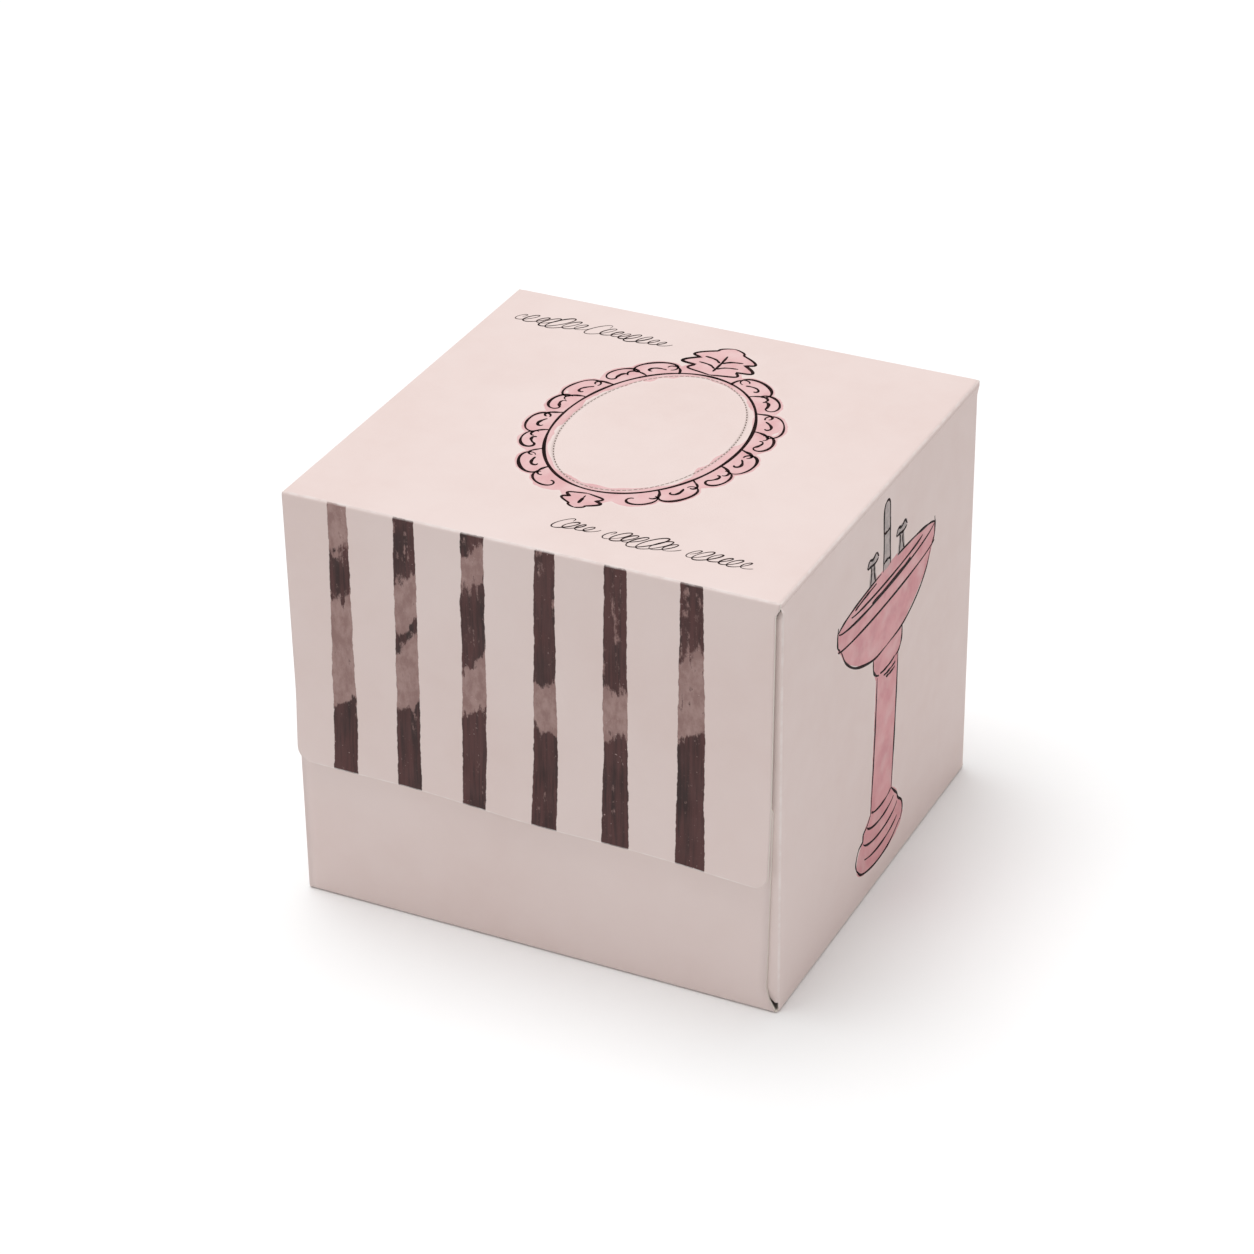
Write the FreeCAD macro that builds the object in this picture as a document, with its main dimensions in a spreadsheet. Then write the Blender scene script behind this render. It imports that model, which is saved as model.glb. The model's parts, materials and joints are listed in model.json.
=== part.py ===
import FreeCAD, Part
import math
import os
import Sketcher

# A cube-shaped carton of facial tissues, closed and not yet torn open.
# Four panels and a glue flap make the tube. Each end closes with two dust flaps, an inner flap that
# stands on the bottom panel and an outer flap that hangs from the top panel, glued in that order.
# Frame: +X right, -Y front (the striped end), +Z up; the origin is the middle of the base.
# Sizes are in millimetres, and angles in degrees.

document = FreeCAD.newDocument("tissue_carton")
sheet = document.addObject("Spreadsheet::Sheet", "sizes")

driving_sizes = [
    ("box_width", 115.0, "outside, left to right"),
    ("box_depth", 110.0, "outside, front to back, over the outer flaps"),
    ("box_height", 101.0, "outside, base to top panel"),
    ("board_gauge", 0.5, "thickness of the paperboard"),
    ("glue_gauge", 0.1, "thickness of a glue layer between two boards"),
    ("fold_radius", 1.0, "outside radius of every folded edge"),
    ("corner_relief", 1.0, "how far a tube fold stops short of the end of the box"),
    ("outer_reach_left", 65.8, "outer flap, top of box to free edge, at its left"),
    ("outer_reach_right", 69.0, "outer flap, top of box to free edge, at its right"),
    ("outer_inset_left", 0.3, "outer flap's left edge, in from the left side"),
    ("outer_inset_right", 1.25, "outer flap's right edge, in from the right side, at the fold"),
    ("outer_lean", 0.85, "how much further in the right edge is at the free edge"),
    ("outer_corner", 3.2, "radius of the outer flap's two free corners"),
    ("inner_reach", 52.0, "inner flap, base to free edge"),
    ("inner_inset_left", 0.6, "inner flap's left edge, in from the left side"),
    ("inner_inset_right", 2.9, "inner flap's right edge, in from the right side, at the fold"),
    ("inner_lean", 1.3, "how much further out the right edge is at the free edge"),
    ("inner_corner", 2.0, "radius of the inner flap's two free corners"),
    ("dust_reach", 42.0, "dust flap, fold to free edge"),
    ("dust_taper", 40.0, "slope of its two slanting edges, from level"),
    ("dust_relief", 2.5, "gap between a dust flap's root and the top or base"),
    ("dust_corner", 5.0, "radius of its two free corners"),
    ("seam_reach", 14.0, "glue flap, fold to free edge"),
    ("seam_relief", 4.0, "how far the glue flap stops short of the side panel's ends"),
    ("seam_glue_start", 4.2, "side fold to the glue line on the glue flap"),
    ("seam_glue_width", 6.0, "width of that glue line"),
    ("seam_glue_end", 3.0, "how far the glue line stops short of the glue flap's ends"),
    ("seam_setback", 0.4, "bottom panel's cut edge, in from the left side"),
    ("mouth_width", 38.0, "oval mouth, left to right"),
    ("mouth_length", 56.7, "oval mouth, front to back"),
    ("mouth_right", 1.9, "mouth's centre, right of the middle of the top"),
    ("mouth_back", 1.7, "mouth's centre, behind the middle of the top"),
    ("cut_gap", 0.25, "width of the perforation's cuts"),
    ("tie_width", 0.4, "length of one uncut tie along the perforation"),
    ("tie_pitch", 2.4, "distance from tie to tie"),
    ("tie_play", 0.01, "clearance at each end of a tie"),
    ("film_gauge", 0.1, "thickness of the dispensing film"),
    ("film_margin", 11.0, "how far the film reaches past the mouth"),
    ("film_slit_length", 38.0, "slit in the film, front to back"),
    ("film_slit_width", 0.4, "width of that slit"),
    ("film_glue_start", 3.0, "mouth's edge to the glue ring"),
    ("film_glue_width", 3.0, "width of the glue ring"),
    ("bead_width", 3.0, "width of a hot-melt bead"),
    ("lap_bead_length", 34.0, "length of a bead between the outer and the inner flap"),
    ("lap_bead_spread", 27.0, "middle of the box to the middle of such a bead"),
    ("lap_bead_drop", 6.0, "inner flap's free edge to the bead's middle"),
    ("dust_bead_length", 16.0, "length of a bead on a dust flap"),
    ("dust_bead_place", 13.0, "dust flap's fold to the bead's near edge"),
    ("dust_bead_lift", 8.0, "inner flap's free edge to the upper bead's lower end"),
    ("dust_bead_drop", 14.0, "inner flap's free edge down to the lower bead's upper end"),
    ("tissue_play", 1.5, "gap between the tissues and the walls"),
    ("headspace", 13.0, "gap between the top panel and the folded tissues"),
    ("leg_gap", 2.0, "gap between the two legs of the innermost bundle"),
    ("bundle_gap", 0.3, "air between two bundles"),
    ("arch_share", 0.78, "a bundle's shoulder radius over its half width"),
    ("top_tissue_gauge", 1.2, "thickness of the top tissue's folds"),
    ("top_tissue_drop", 26.0, "how far down the arch the top tissue reaches"),
    ("pinch_height", 4.0, "height of the top tissue's pinch fold"),
    ("pinch_width", 3.0, "thickness of the pinch fold"),
    ("pinch_length", 44.0, "length of the pinch fold, front to back"),
]


class Size:
    """A length or ratio, as its number and as the formula that gives it in the sheet."""

    def __init__(self, value, formula=None):
        self.value = float(value)
        self.formula = formula or repr(float(value))

    def joined(self, other, sign, value):
        return Size(value, "(" + self.formula + sign + other.formula + ")")

    def __add__(self, other):
        other = as_size(other)
        return self.joined(other, " + ", self.value + other.value)

    def __sub__(self, other):
        other = as_size(other)
        return self.joined(other, " - ", self.value - other.value)

    def __mul__(self, other):
        other = as_size(other)
        return self.joined(other, " * ", self.value * other.value)

    def __truediv__(self, other):
        other = as_size(other)
        return self.joined(other, " / ", self.value / other.value)

    def __neg__(self):
        return Size(-self.value, "(0 - " + self.formula + ")")


def as_size(number):
    return number if isinstance(number, Size) else Size(number)


def tangent(angle):
    return Size(math.tan(math.radians(angle.value)), "tan(" + angle.formula + " * 1 deg)")


size = {}
for row, (alias, number, note) in enumerate(driving_sizes, start=1):
    sheet.set("A" + str(row), note)
    sheet.set("B" + str(row), str(number))
    sheet.setAlias("B" + str(row), alias)
    size[alias] = Size(number, "sizes." + alias)
document.recompute()

# Places worked out from the driving sizes
half_width = size["box_width"] / 2
half_depth = size["box_depth"] / 2
height = size["box_height"]
board = size["board_gauge"]
glue = size["glue_gauge"]
radius = size["fold_radius"]
lap_step = board + glue
inner_face = half_depth - lap_step  # outside face of the inner flaps, from the middle
dust_face = inner_face - lap_step  # outside face of the dust flaps, from the middle
side_fold_x = half_width - radius  # centre line of the upright folds and of the tube folds
end_fold_y = {"outer": half_depth - radius, "inner": inner_face - radius, "dust": dust_face - radius}
top_fold_z = height - radius
seam_fold_z = lap_step + radius
tube_half = half_depth - size["corner_relief"]
bead = size["bead_width"]

nodes = []


def bind(item, path, value):
    item.setExpression(path, as_size(value).formula)


def new_body(label):
    body = document.addObject("PartDesign::Body", label)
    body.Label = label
    return body


def keep(item, label):
    item.Label = label
    nodes.append(item)
    return item


def new_sketch(body, name, plane_role, offset):
    """A sketch on one of the body's own origin planes, moved along that plane's normal."""
    sketch = body.newObject("Sketcher::SketchObject", name)
    plane = [part for part in body.Origin.OriginFeatures if part.Role == plane_role][0]
    sketch.AttachmentSupport = [(plane, "")]
    sketch.MapMode = "FlatFace"
    bind(sketch, "AttachmentOffset.Base.z", offset)
    return sketch


def pin(sketch, geometry, point, name, across=None, up=None):
    """Hold one point of a sketch at a bound distance from the sketch's origin."""
    for kind, word, place in (("DistanceX", "across", across), ("DistanceY", "up", up)):
        if place is not None:
            constraint = Sketcher.Constraint(kind, -1, 1, geometry, point, place.value)
            index = sketch.addConstraint(constraint)
            sketch.renameConstraint(index, name + "_" + word)
            bind(sketch, "Constraints." + name + "_" + word, place)


def draw_polygon(sketch, corners):
    """A closed outline with straight sides, whose corners are (across, up) pairs of sizes."""
    points = [FreeCAD.Vector(across.value, up.value, 0) for across, up in corners]
    count = len(points)
    for index in range(count):
        sketch.addGeometry(Part.LineSegment(points[index], points[(index + 1) % count]), False)
    for index in range(count):
        sketch.addConstraint(Sketcher.Constraint("Coincident", index, 2, (index + 1) % count, 1))
    for index, (across, up) in enumerate(corners):
        pin(sketch, index, 1, "corner_" + str(index), across, up)


def draw_fold(sketch, centre_across, centre_up, start_angle, end_angle):
    """Half of a folded edge: a slice of a ring between the fold's outside and inside radius."""
    centre = FreeCAD.Vector(centre_across.value, centre_up.value, 0)
    upward = FreeCAD.Vector(0, 0, 1)
    rings = [radius, radius - board]
    for ring in rings:
        circle = Part.Circle(centre, upward, ring.value)
        arc = Part.ArcOfCircle(circle, math.radians(start_angle), math.radians(end_angle))
        sketch.addGeometry(arc, False)
    for end, angle in ((1, start_angle), (2, end_angle)):
        direction = FreeCAD.Vector(math.cos(math.radians(angle)), math.sin(math.radians(angle)), 0)
        line = Part.LineSegment(centre + direction * rings[0].value, centre + direction * rings[1].value)
        index = sketch.addGeometry(line, False)
        sketch.addConstraint(Sketcher.Constraint("Coincident", index, 1, 0, end))
        sketch.addConstraint(Sketcher.Constraint("Coincident", index, 2, 1, end))
    sketch.addConstraint(Sketcher.Constraint("Coincident", 0, 3, 1, 3))
    pin(sketch, 0, 3, "centre", centre_across, centre_up)
    for arc, (name, ring) in enumerate((("outside", rings[0]), ("inside", rings[1]))):
        index = sketch.addConstraint(Sketcher.Constraint("Radius", arc, ring.value))
        sketch.renameConstraint(index, name + "_radius")
        bind(sketch, "Constraints." + name + "_radius", ring)
        for end, angle in ((1, start_angle), (2, end_angle)):
            label = name + "_end_" + str(end)
            cosine = Size(math.cos(math.radians(angle)), "cos(" + str(angle) + " deg)")
            sine = Size(math.sin(math.radians(angle)), "sin(" + str(angle) + " deg)")
            if abs(sine.value) > 0.5:
                pin(sketch, arc, end, label, across=centre_across + ring * cosine)
            else:
                pin(sketch, arc, end, label, up=centre_up + ring * sine)


def add_pad(body, sketch, name, length):
    pad = body.newObject("PartDesign::Pad", name)
    pad.Profile = sketch
    bind(pad, "Length", length)
    sketch.Visibility = False
    document.recompute()
    return pad


def add_plate(body, name, plane_role, offset, thickness, corners):
    sketch = new_sketch(body, name + "_outline", plane_role, offset)
    draw_polygon(sketch, corners)
    return add_pad(body, sketch, name, thickness)


def add_fold(body, name, plane_role, offset, length, centre_across, centre_up, angles):
    sketch = new_sketch(body, name + "_section", plane_role, offset)
    draw_fold(sketch, centre_across, centre_up, angles[0], angles[1])
    return add_pad(body, sketch, name, length)


def round_corners(body, feature, name, places, corner_radius, axis):
    """Fillet the short edges that run along the axis through the given (x, z) or (x, y) places."""
    found = []
    for index, edge in enumerate(feature.Shape.Edges, start=1):
        if len(edge.Vertexes) != 2:
            continue
        start, end = edge.Vertexes[0].Point, edge.Vertexes[1].Point
        along = end - start
        if along.Length == 0 or abs(abs(along.dot(axis)) - along.Length) > 1e-6:
            continue
        for place in places:
            if (start - place).cross(axis).Length < 1e-4:
                found.append("Edge" + str(index))
    fillet = body.newObject("PartDesign::Fillet", name)
    fillet.Base = (feature, found)
    bind(fillet, "Radius", corner_radius)
    document.recompute()
    return fillet


# In an XZ sketch across is +X, up is +Z and a pad grows towards -Y.
# In a YZ sketch across is +Y, up is +Z and a pad grows towards +X.
# In an XY sketch across is +X, up is +Y and a pad grows towards +Z.
along_y = FreeCAD.Vector(0, 1, 0)


def tube_fold(body, name, centre_x, centre_z, angles, half_length):
    """A fold of the tube, which runs front to back."""
    add_fold(body, name, "XZ_Plane", -half_length, half_length * 2, centre_x, centre_z, angles)


def end_fold(body, name, low_x, high_x, centre_y, centre_z, angles):
    """A fold between a flap and the top or bottom panel, which runs left to right."""
    add_fold(body, name, "YZ_Plane", low_x, high_x - low_x, centre_y, centre_z, angles)


def make_top_panel():
    body = new_body("top_board")
    reach = end_fold_y["outer"]
    corners = [(-side_fold_x, -reach), (side_fold_x, -reach), (side_fold_x, reach), (-side_fold_x, reach)]
    add_plate(body, "top_plate", "XY_Plane", height - board, board, corners)
    tube_fold(body, "top_right_fold", side_fold_x, top_fold_z, (45, 90), tube_half)
    tube_fold(body, "top_left_fold", -side_fold_x, top_fold_z, (90, 135), tube_half)
    low_x, high_x = outer_flap_ends()
    end_fold(body, "top_front_fold", low_x, high_x, -reach, top_fold_z, (90, 135))
    end_fold(body, "top_back_fold", low_x, high_x, reach, top_fold_z, (45, 90))
    panel = document.addObject("Part::Cut", "top_with_mouth")
    panel.Base = body
    panel.Tool = oval_prism("mouth_cutter", Size(0), height - board * 2, board * 3)
    document.recompute()
    keep(panel, "top_panel")


def oval_prism(name, grow, low_z, thickness):
    """An upright oval prism round the mouth's centre, grown outwards by the given amount."""
    oval = document.addObject("Part::Ellipse", name + "_oval")
    bind(oval, "MajorRadius", size["mouth_length"] / 2 + grow)
    bind(oval, "MinorRadius", size["mouth_width"] / 2 + grow)
    oval.Placement.Rotation = FreeCAD.Rotation(FreeCAD.Vector(0, 0, 1), 90)
    bind(oval, "Placement.Base.x", size["mouth_right"])
    bind(oval, "Placement.Base.y", size["mouth_back"])
    bind(oval, "Placement.Base.z", low_z)
    prism = document.addObject("Part::Extrusion", name)
    prism.Base = oval
    prism.DirMode = "Custom"
    prism.Dir = FreeCAD.Vector(0, 0, 1)
    prism.Solid = True
    bind(prism, "LengthFwd", thickness)
    document.recompute()
    return prism


def make_right_side_panel():
    body = new_body("right_side_panel")
    reach = end_fold_y["dust"]
    corners = [(-reach, radius), (reach, radius), (reach, top_fold_z), (-reach, top_fold_z)]
    add_plate(body, "right_plate", "YZ_Plane", half_width - board, board, corners)
    tube_fold(body, "right_top_fold", side_fold_x, top_fold_z, (0, 45), tube_half)
    tube_fold(body, "right_bottom_fold", side_fold_x, radius, (-45, 0), end_fold_y["inner"])
    tall = top_fold_z - radius
    add_fold(body, "right_front_fold", "XY_Plane", radius, tall, side_fold_x, -reach, (-45, 0))
    add_fold(body, "right_back_fold", "XY_Plane", radius, tall, side_fold_x, reach, (0, 45))
    keep(body, "right_side_panel")


def make_left_side_panel():
    body = new_body("left_side_panel")
    reach = end_fold_y["dust"]
    corners = [(-reach, seam_fold_z), (reach, seam_fold_z), (reach, top_fold_z), (-reach, top_fold_z)]
    add_plate(body, "left_plate", "YZ_Plane", -half_width, board, corners)
    tube_fold(body, "left_top_fold", -side_fold_x, top_fold_z, (135, 180), tube_half)
    seam_half = reach - size["seam_relief"]
    tube_fold(body, "left_bottom_fold", -side_fold_x, seam_fold_z, (180, 225), seam_half)
    tall = top_fold_z - seam_fold_z
    add_fold(body, "left_front_fold", "XY_Plane", seam_fold_z, tall, -side_fold_x, -reach, (180, 225))
    add_fold(body, "left_back_fold", "XY_Plane", seam_fold_z, tall, -side_fold_x, reach, (135, 180))
    keep(body, "left_side_panel")


def make_bottom_panel():
    body = new_body("bottom_panel")
    reach = end_fold_y["inner"]
    low_x = -half_width + size["seam_setback"]
    corners = [(low_x, -reach), (side_fold_x, -reach), (side_fold_x, reach), (low_x, reach)]
    add_plate(body, "bottom_plate", "XY_Plane", Size(0), board, corners)
    tube_fold(body, "bottom_right_fold", side_fold_x, radius, (-90, -45), reach)
    low_flap, high_flap = inner_flap_ends()
    end_fold(body, "bottom_front_fold", low_flap, high_flap, -reach, radius, (225, 270))
    end_fold(body, "bottom_back_fold", low_flap, high_flap, reach, radius, (270, 315))
    keep(body, "bottom_panel")


def make_seam_glue_flap():
    body = new_body("seam_glue_flap")
    seam_half = end_fold_y["dust"] - size["seam_relief"]
    high_x = -side_fold_x + size["seam_reach"]
    corners = [(-side_fold_x, -seam_half), (high_x, -seam_half), (high_x, seam_half), (-side_fold_x, seam_half)]
    add_plate(body, "seam_plate", "XY_Plane", lap_step, board, corners)
    tube_fold(body, "seam_fold", -side_fold_x, seam_fold_z, (225, 270), seam_half)
    keep(body, "seam_glue_flap")
    line = document.addObject("Part::Box", "seam_glue_line")
    start = size["seam_glue_start"] - side_fold_x
    glue_half = seam_half - size["seam_glue_end"]
    place_box(line, start, size["seam_glue_width"], -glue_half, glue_half * 2, board, glue)
    keep(line, "seam_glue_line")


def place_box(box, low_x, long_x, low_y, long_y, low_z, long_z):
    for path, value in (("Length", long_x), ("Width", long_y), ("Height", long_z)):
        bind(box, path, value)
    for path, value in (("x", low_x), ("y", low_y), ("z", low_z)):
        bind(box, "Placement.Base." + path, value)


def outer_flap_ends():
    return size["outer_inset_left"] - half_width, half_width - size["outer_inset_right"]


def inner_flap_ends():
    return size["inner_inset_left"] - half_width, half_width - size["inner_inset_right"]


def plate_start(end, face):
    """Where an end board's pad starts: it grows towards -Y, from its inside or its outside face."""
    return face - board if end == "front" else -face


def make_outer_flap(end):
    name = end + "_outer_flap"
    body = new_body(name)
    low_x, high_x = outer_flap_ends()
    left_z = height - size["outer_reach_left"]
    right_z = height - size["outer_reach_right"]
    right_tip = high_x - size["outer_lean"]
    corners = [(low_x, top_fold_z), (low_x, left_z), (right_tip, right_z), (high_x, top_fold_z)]
    add_plate(body, name + "_plate", "XZ_Plane", plate_start(end, half_depth), board, corners)
    side, angles = (-1, (135, 180)) if end == "front" else (1, (0, 45))
    reach = end_fold_y["outer"] * side
    end_fold(body, name + "_fold", low_x, high_x, reach, top_fold_z, angles)
    face_y = half_depth.value * side
    tips = [FreeCAD.Vector(x.value, face_y, z.value) for x, z in corners[1:3]]
    round_corners(body, body.Tip, name + "_corners", tips, size["outer_corner"], along_y)
    keep(body, name)


def make_inner_flap(end):
    name = end + "_inner_flap"
    body = new_body(name)
    low_x, high_x = inner_flap_ends()
    right_tip = high_x + size["inner_lean"]
    tip_z = size["inner_reach"]
    corners = [(low_x, radius), (high_x, radius), (right_tip, tip_z), (low_x, tip_z)]
    add_plate(body, name + "_plate", "XZ_Plane", plate_start(end, inner_face), board, corners)
    side, angles = (-1, (180, 225)) if end == "front" else (1, (-45, 0))
    reach = end_fold_y["inner"] * side
    end_fold(body, name + "_fold", low_x, high_x, reach, radius, angles)
    face_y = inner_face.value * side
    tips = [FreeCAD.Vector(x.value, face_y, z.value) for x, z in corners[2:4]]
    round_corners(body, body.Tip, name + "_corners", tips, size["inner_corner"], along_y)
    keep(body, name)


def make_dust_flap(end, hand):
    name = end + "_" + hand + "_dust_flap"
    body = new_body(name)
    sign = 1 if hand == "right" else -1
    root_x = side_fold_x * sign
    tip_x = (side_fold_x - size["dust_reach"]) * sign
    low_z = size["dust_relief"]
    high_z = height - size["dust_relief"]
    slope = size["dust_reach"] * tangent(size["dust_taper"])
    corners = [(root_x, low_z), (tip_x, low_z + slope), (tip_x, high_z - slope), (root_x, high_z)]
    add_plate(body, name + "_plate", "XZ_Plane", plate_start(end, dust_face), board, corners)
    side = -1 if end == "front" else 1
    starts = {("front", "right"): -90, ("front", "left"): 225, ("back", "right"): 45, ("back", "left"): 90}
    start = starts[(end, hand)]
    centre_y = end_fold_y["dust"] * side
    tall = high_z - low_z
    add_fold(body, name + "_fold", "XY_Plane", low_z, tall, root_x, centre_y, (start, start + 45))
    face_y = dust_face.value * side
    tips = [FreeCAD.Vector(x.value, face_y, z.value) for x, z in corners[1:3]]
    round_corners(body, body.Tip, name + "_corners", tips, size["dust_corner"], along_y)
    keep(body, name)


def glue_beads(name, beads):
    """Beads of glue as one node of separate solids; each is low x, long x, low y, long y, low z, long z."""
    boxes = []
    for index, places in enumerate(beads):
        box = document.addObject("Part::Box", name + "_bead_" + str(index))
        place_box(box, *places)
        boxes.append(box)
    group = document.addObject("Part::Compound", name)
    group.Links = boxes
    document.recompute()
    keep(group, name)


def glue_low_y(end, outside, thickness):
    """Lowest Y of a glue layer whose outside face is that far from the middle of the box."""
    return -outside if end == "front" else outside - thickness


def make_lap_glue(end):
    low_z = size["inner_reach"] - size["lap_bead_drop"] - bead / 2
    low_y = glue_low_y(end, inner_face + glue, glue)
    long_x = size["lap_bead_length"]
    middles = [-size["lap_bead_spread"], size["lap_bead_spread"]]
    beads = [(middle - long_x / 2, long_x, low_y, glue, low_z, bead) for middle in middles]
    glue_beads(end + "_lap_glue", beads)


def make_dust_glue(end, hand):
    """An upper bead that reaches the outer flap past the inner flap's edge, and a thin lower one."""
    deep = board + glue * 2
    near = side_fold_x - size["dust_bead_place"]
    low_x = near - bead if hand == "right" else -near
    long_z = size["dust_bead_length"]
    upper_z = size["inner_reach"] + size["dust_bead_lift"]
    lower_z = size["inner_reach"] - size["dust_bead_drop"] - long_z
    upper = (low_x, bead, glue_low_y(end, dust_face + deep, deep), deep, upper_z, long_z)
    lower = (low_x, bead, glue_low_y(end, dust_face + glue, glue), glue, lower_z, long_z)
    glue_beads(end + "_" + hand + "_dust_glue", [upper, lower])


def make_tear_out():
    keep(oval_prism("tear_out_board", -size["cut_gap"], height - board, board), "tear_out_oval")


def make_perforation_ties():
    """Little bridges across the cut, evenly spaced along the middle of the cut."""
    centre = FreeCAD.Vector(size["mouth_right"].value, size["mouth_back"].value, 0)
    gap = size["cut_gap"].value
    long_radius = (size["mouth_length"].value - gap) / 2
    short_radius = (size["mouth_width"].value - gap) / 2
    oval = Part.Ellipse(FreeCAD.Vector(0, 0, 0), long_radius, short_radius).toShape()
    count = round(oval.Length / size["tie_pitch"].value)
    long_tie = gap - size["tie_play"].value * 2
    wide_tie = size["tie_width"].value
    ties = []
    for point in oval.discretize(Number=count + 1)[:count]:
        slope = oval.tangentAt(oval.Curve.parameter(point))
        tie = Part.makeBox(wide_tie, long_tie, board.value, FreeCAD.Vector(-wide_tie / 2, -long_tie / 2, 0))
        tie.rotate(FreeCAD.Vector(0, 0, 0), FreeCAD.Vector(0, 0, 1), math.degrees(math.atan2(slope.y, slope.x)))
        tie.translate(point)
        ties.append(tie)
    group = document.addObject("Part::Feature", "perforation_ties")
    shape = Part.Compound(ties)
    group.Shape = shape
    upright = FreeCAD.Rotation(FreeCAD.Vector(0, 0, 1), 90)
    centre.z = (height - board).value
    group.Placement = FreeCAD.Placement(centre, upright)
    keep(group, "perforation_ties")


def make_film():
    """Film sheet with a slit, and the oval ring of glue that holds it under the top panel."""
    top_z = height - board - glue
    low_x = size["mouth_right"] - size["mouth_width"] / 2 - size["film_margin"]
    high_x = size["mouth_right"] + size["mouth_width"] / 2 + size["film_margin"]
    low_y = size["mouth_back"] - size["mouth_length"] / 2 - size["film_margin"]
    high_y = size["mouth_back"] + size["mouth_length"] / 2 + size["film_margin"]
    sheet_box = document.addObject("Part::Box", "film_sheet")
    film = size["film_gauge"]
    place_box(sheet_box, low_x, high_x - low_x, low_y, high_y - low_y, top_z - film, film)
    slit_box = document.addObject("Part::Box", "film_slit")
    slit_x = size["mouth_right"] - size["film_slit_width"] / 2
    slit_y = size["mouth_back"] - size["film_slit_length"] / 2
    slit_width, slit_length = size["film_slit_width"], size["film_slit_length"]
    place_box(slit_box, slit_x, slit_width, slit_y, slit_length, top_z - film * 2, film * 3)
    cut = document.addObject("Part::Cut", "dispensing_film")
    cut.Base = sheet_box
    cut.Tool = slit_box
    document.recompute()
    keep(cut, "dispensing_film")
    ring = document.addObject("Part::Cut", "film_glue_line")
    start = size["film_glue_start"]
    ring.Base = oval_prism("glue_ring_outside", start + size["film_glue_width"], top_z, glue)
    ring.Tool = oval_prism("glue_ring_inside", start, top_z - glue, glue * 3)
    document.recompute()
    keep(ring, "film_glue_line")


tissue_base = lap_step + board  # the tissues stand on the glue flap
tissue_half_depth = dust_face - board - size["tissue_play"]
tissue_half_width = half_width - board - size["tissue_play"] - size["top_tissue_gauge"]
tissue_top = height - board - size["headspace"]
bundle_names = ["outer_tissue_bundle", "second_tissue_bundle", "third_tissue_bundle", "inner_tissue_bundle"]
bundle_step = (tissue_half_width - size["leg_gap"] / 2) / len(bundle_names)


def shoulder_block(name, inset):
    """A block that runs front to back, with round shoulders, whose faces stand in by the inset."""
    body = new_body(name)
    half = tissue_half_width - inset
    top = tissue_top - inset
    corners = [(-half, tissue_base), (half, tissue_base), (half, top), (-half, top)]
    add_plate(body, name + "_plate", "XZ_Plane", -tissue_half_depth, tissue_half_depth * 2, corners)
    shoulders = [FreeCAD.Vector(side * half.value, 0, top.value) for side in (-1, 1)]
    round_corners(body, body.Tip, name + "_shoulders", shoulders, half * size["arch_share"], along_y)
    return body


def make_arch(name, outside, inside):
    """An upturned U: a shoulder block less a smaller one."""
    arch = document.addObject("Part::Cut", name)
    arch.Base = shoulder_block(name + "_block", outside)
    arch.Tool = shoulder_block(name + "_hollow", inside)
    document.recompute()
    return arch


def make_tissue_bundles():
    for index, name in enumerate(bundle_names):
        outside = bundle_step * index
        inside = bundle_step * (index + 1) - size["bundle_gap"]
        keep(make_arch(name, outside, inside), name)


def make_top_tissue():
    """The first tissue, draped over the top of the arch, with a pinch fold under the mouth."""
    arch = make_arch("top_tissue_arch", -size["top_tissue_gauge"], -size["bundle_gap"] / 2)
    window = document.addObject("Part::Box", "top_tissue_window")
    low_z = tissue_top - size["top_tissue_drop"]
    wide = size["box_width"]
    deep = tissue_half_depth * 2
    place_box(window, -half_width, wide, -tissue_half_depth, deep, low_z, height - low_z)
    draped = document.addObject("Part::Common", "top_tissue_draped")
    draped.Base = arch
    draped.Tool = window
    pinch = document.addObject("Part::Box", "top_tissue_pinch")
    pinch_x = size["mouth_right"] - size["pinch_width"] / 2
    pinch_y = size["mouth_back"] - size["pinch_length"] / 2
    pinch_z = tissue_top + size["top_tissue_gauge"] / 2
    tall = size["top_tissue_gauge"] / 2 + size["pinch_height"]
    place_box(pinch, pinch_x, size["pinch_width"], pinch_y, size["pinch_length"], pinch_z, tall)
    tissue = document.addObject("Part::Fuse", "top_tissue")
    tissue.Base = draped
    tissue.Tool = pinch
    document.recompute()
    keep(tissue, "top_tissue")


make_top_panel()
make_right_side_panel()
make_bottom_panel()
make_left_side_panel()
make_seam_glue_flap()
for end_name in ("front", "back"):
    make_outer_flap(end_name)
    make_inner_flap(end_name)
    make_lap_glue(end_name)
    for hand_name in ("right", "left"):
        make_dust_flap(end_name, hand_name)
        make_dust_glue(end_name, hand_name)
make_tear_out()
make_perforation_ties()
make_film()
make_tissue_bundles()
make_top_tissue()

document.recompute()
for item in document.Objects:
    if "Invalid" in item.State or "Error" in item.State:
        raise ValueError(item.Label + " failed to recompute")
for node in nodes:
    if node.Shape.isNull() or not node.Shape.isValid() or not node.Shape.Solids:
        raise ValueError(node.Label + " has no valid solid")

os.makedirs("parts", exist_ok=True)
for node in nodes:
    node.Shape.exportStep("parts/" + node.Label + ".step")
    print(node.Label, len(node.Shape.Solids), round(node.Shape.Volume, 2))
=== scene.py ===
import json
import math

import bpy
import numpy as np
from mathutils import Matrix, Vector

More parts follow.
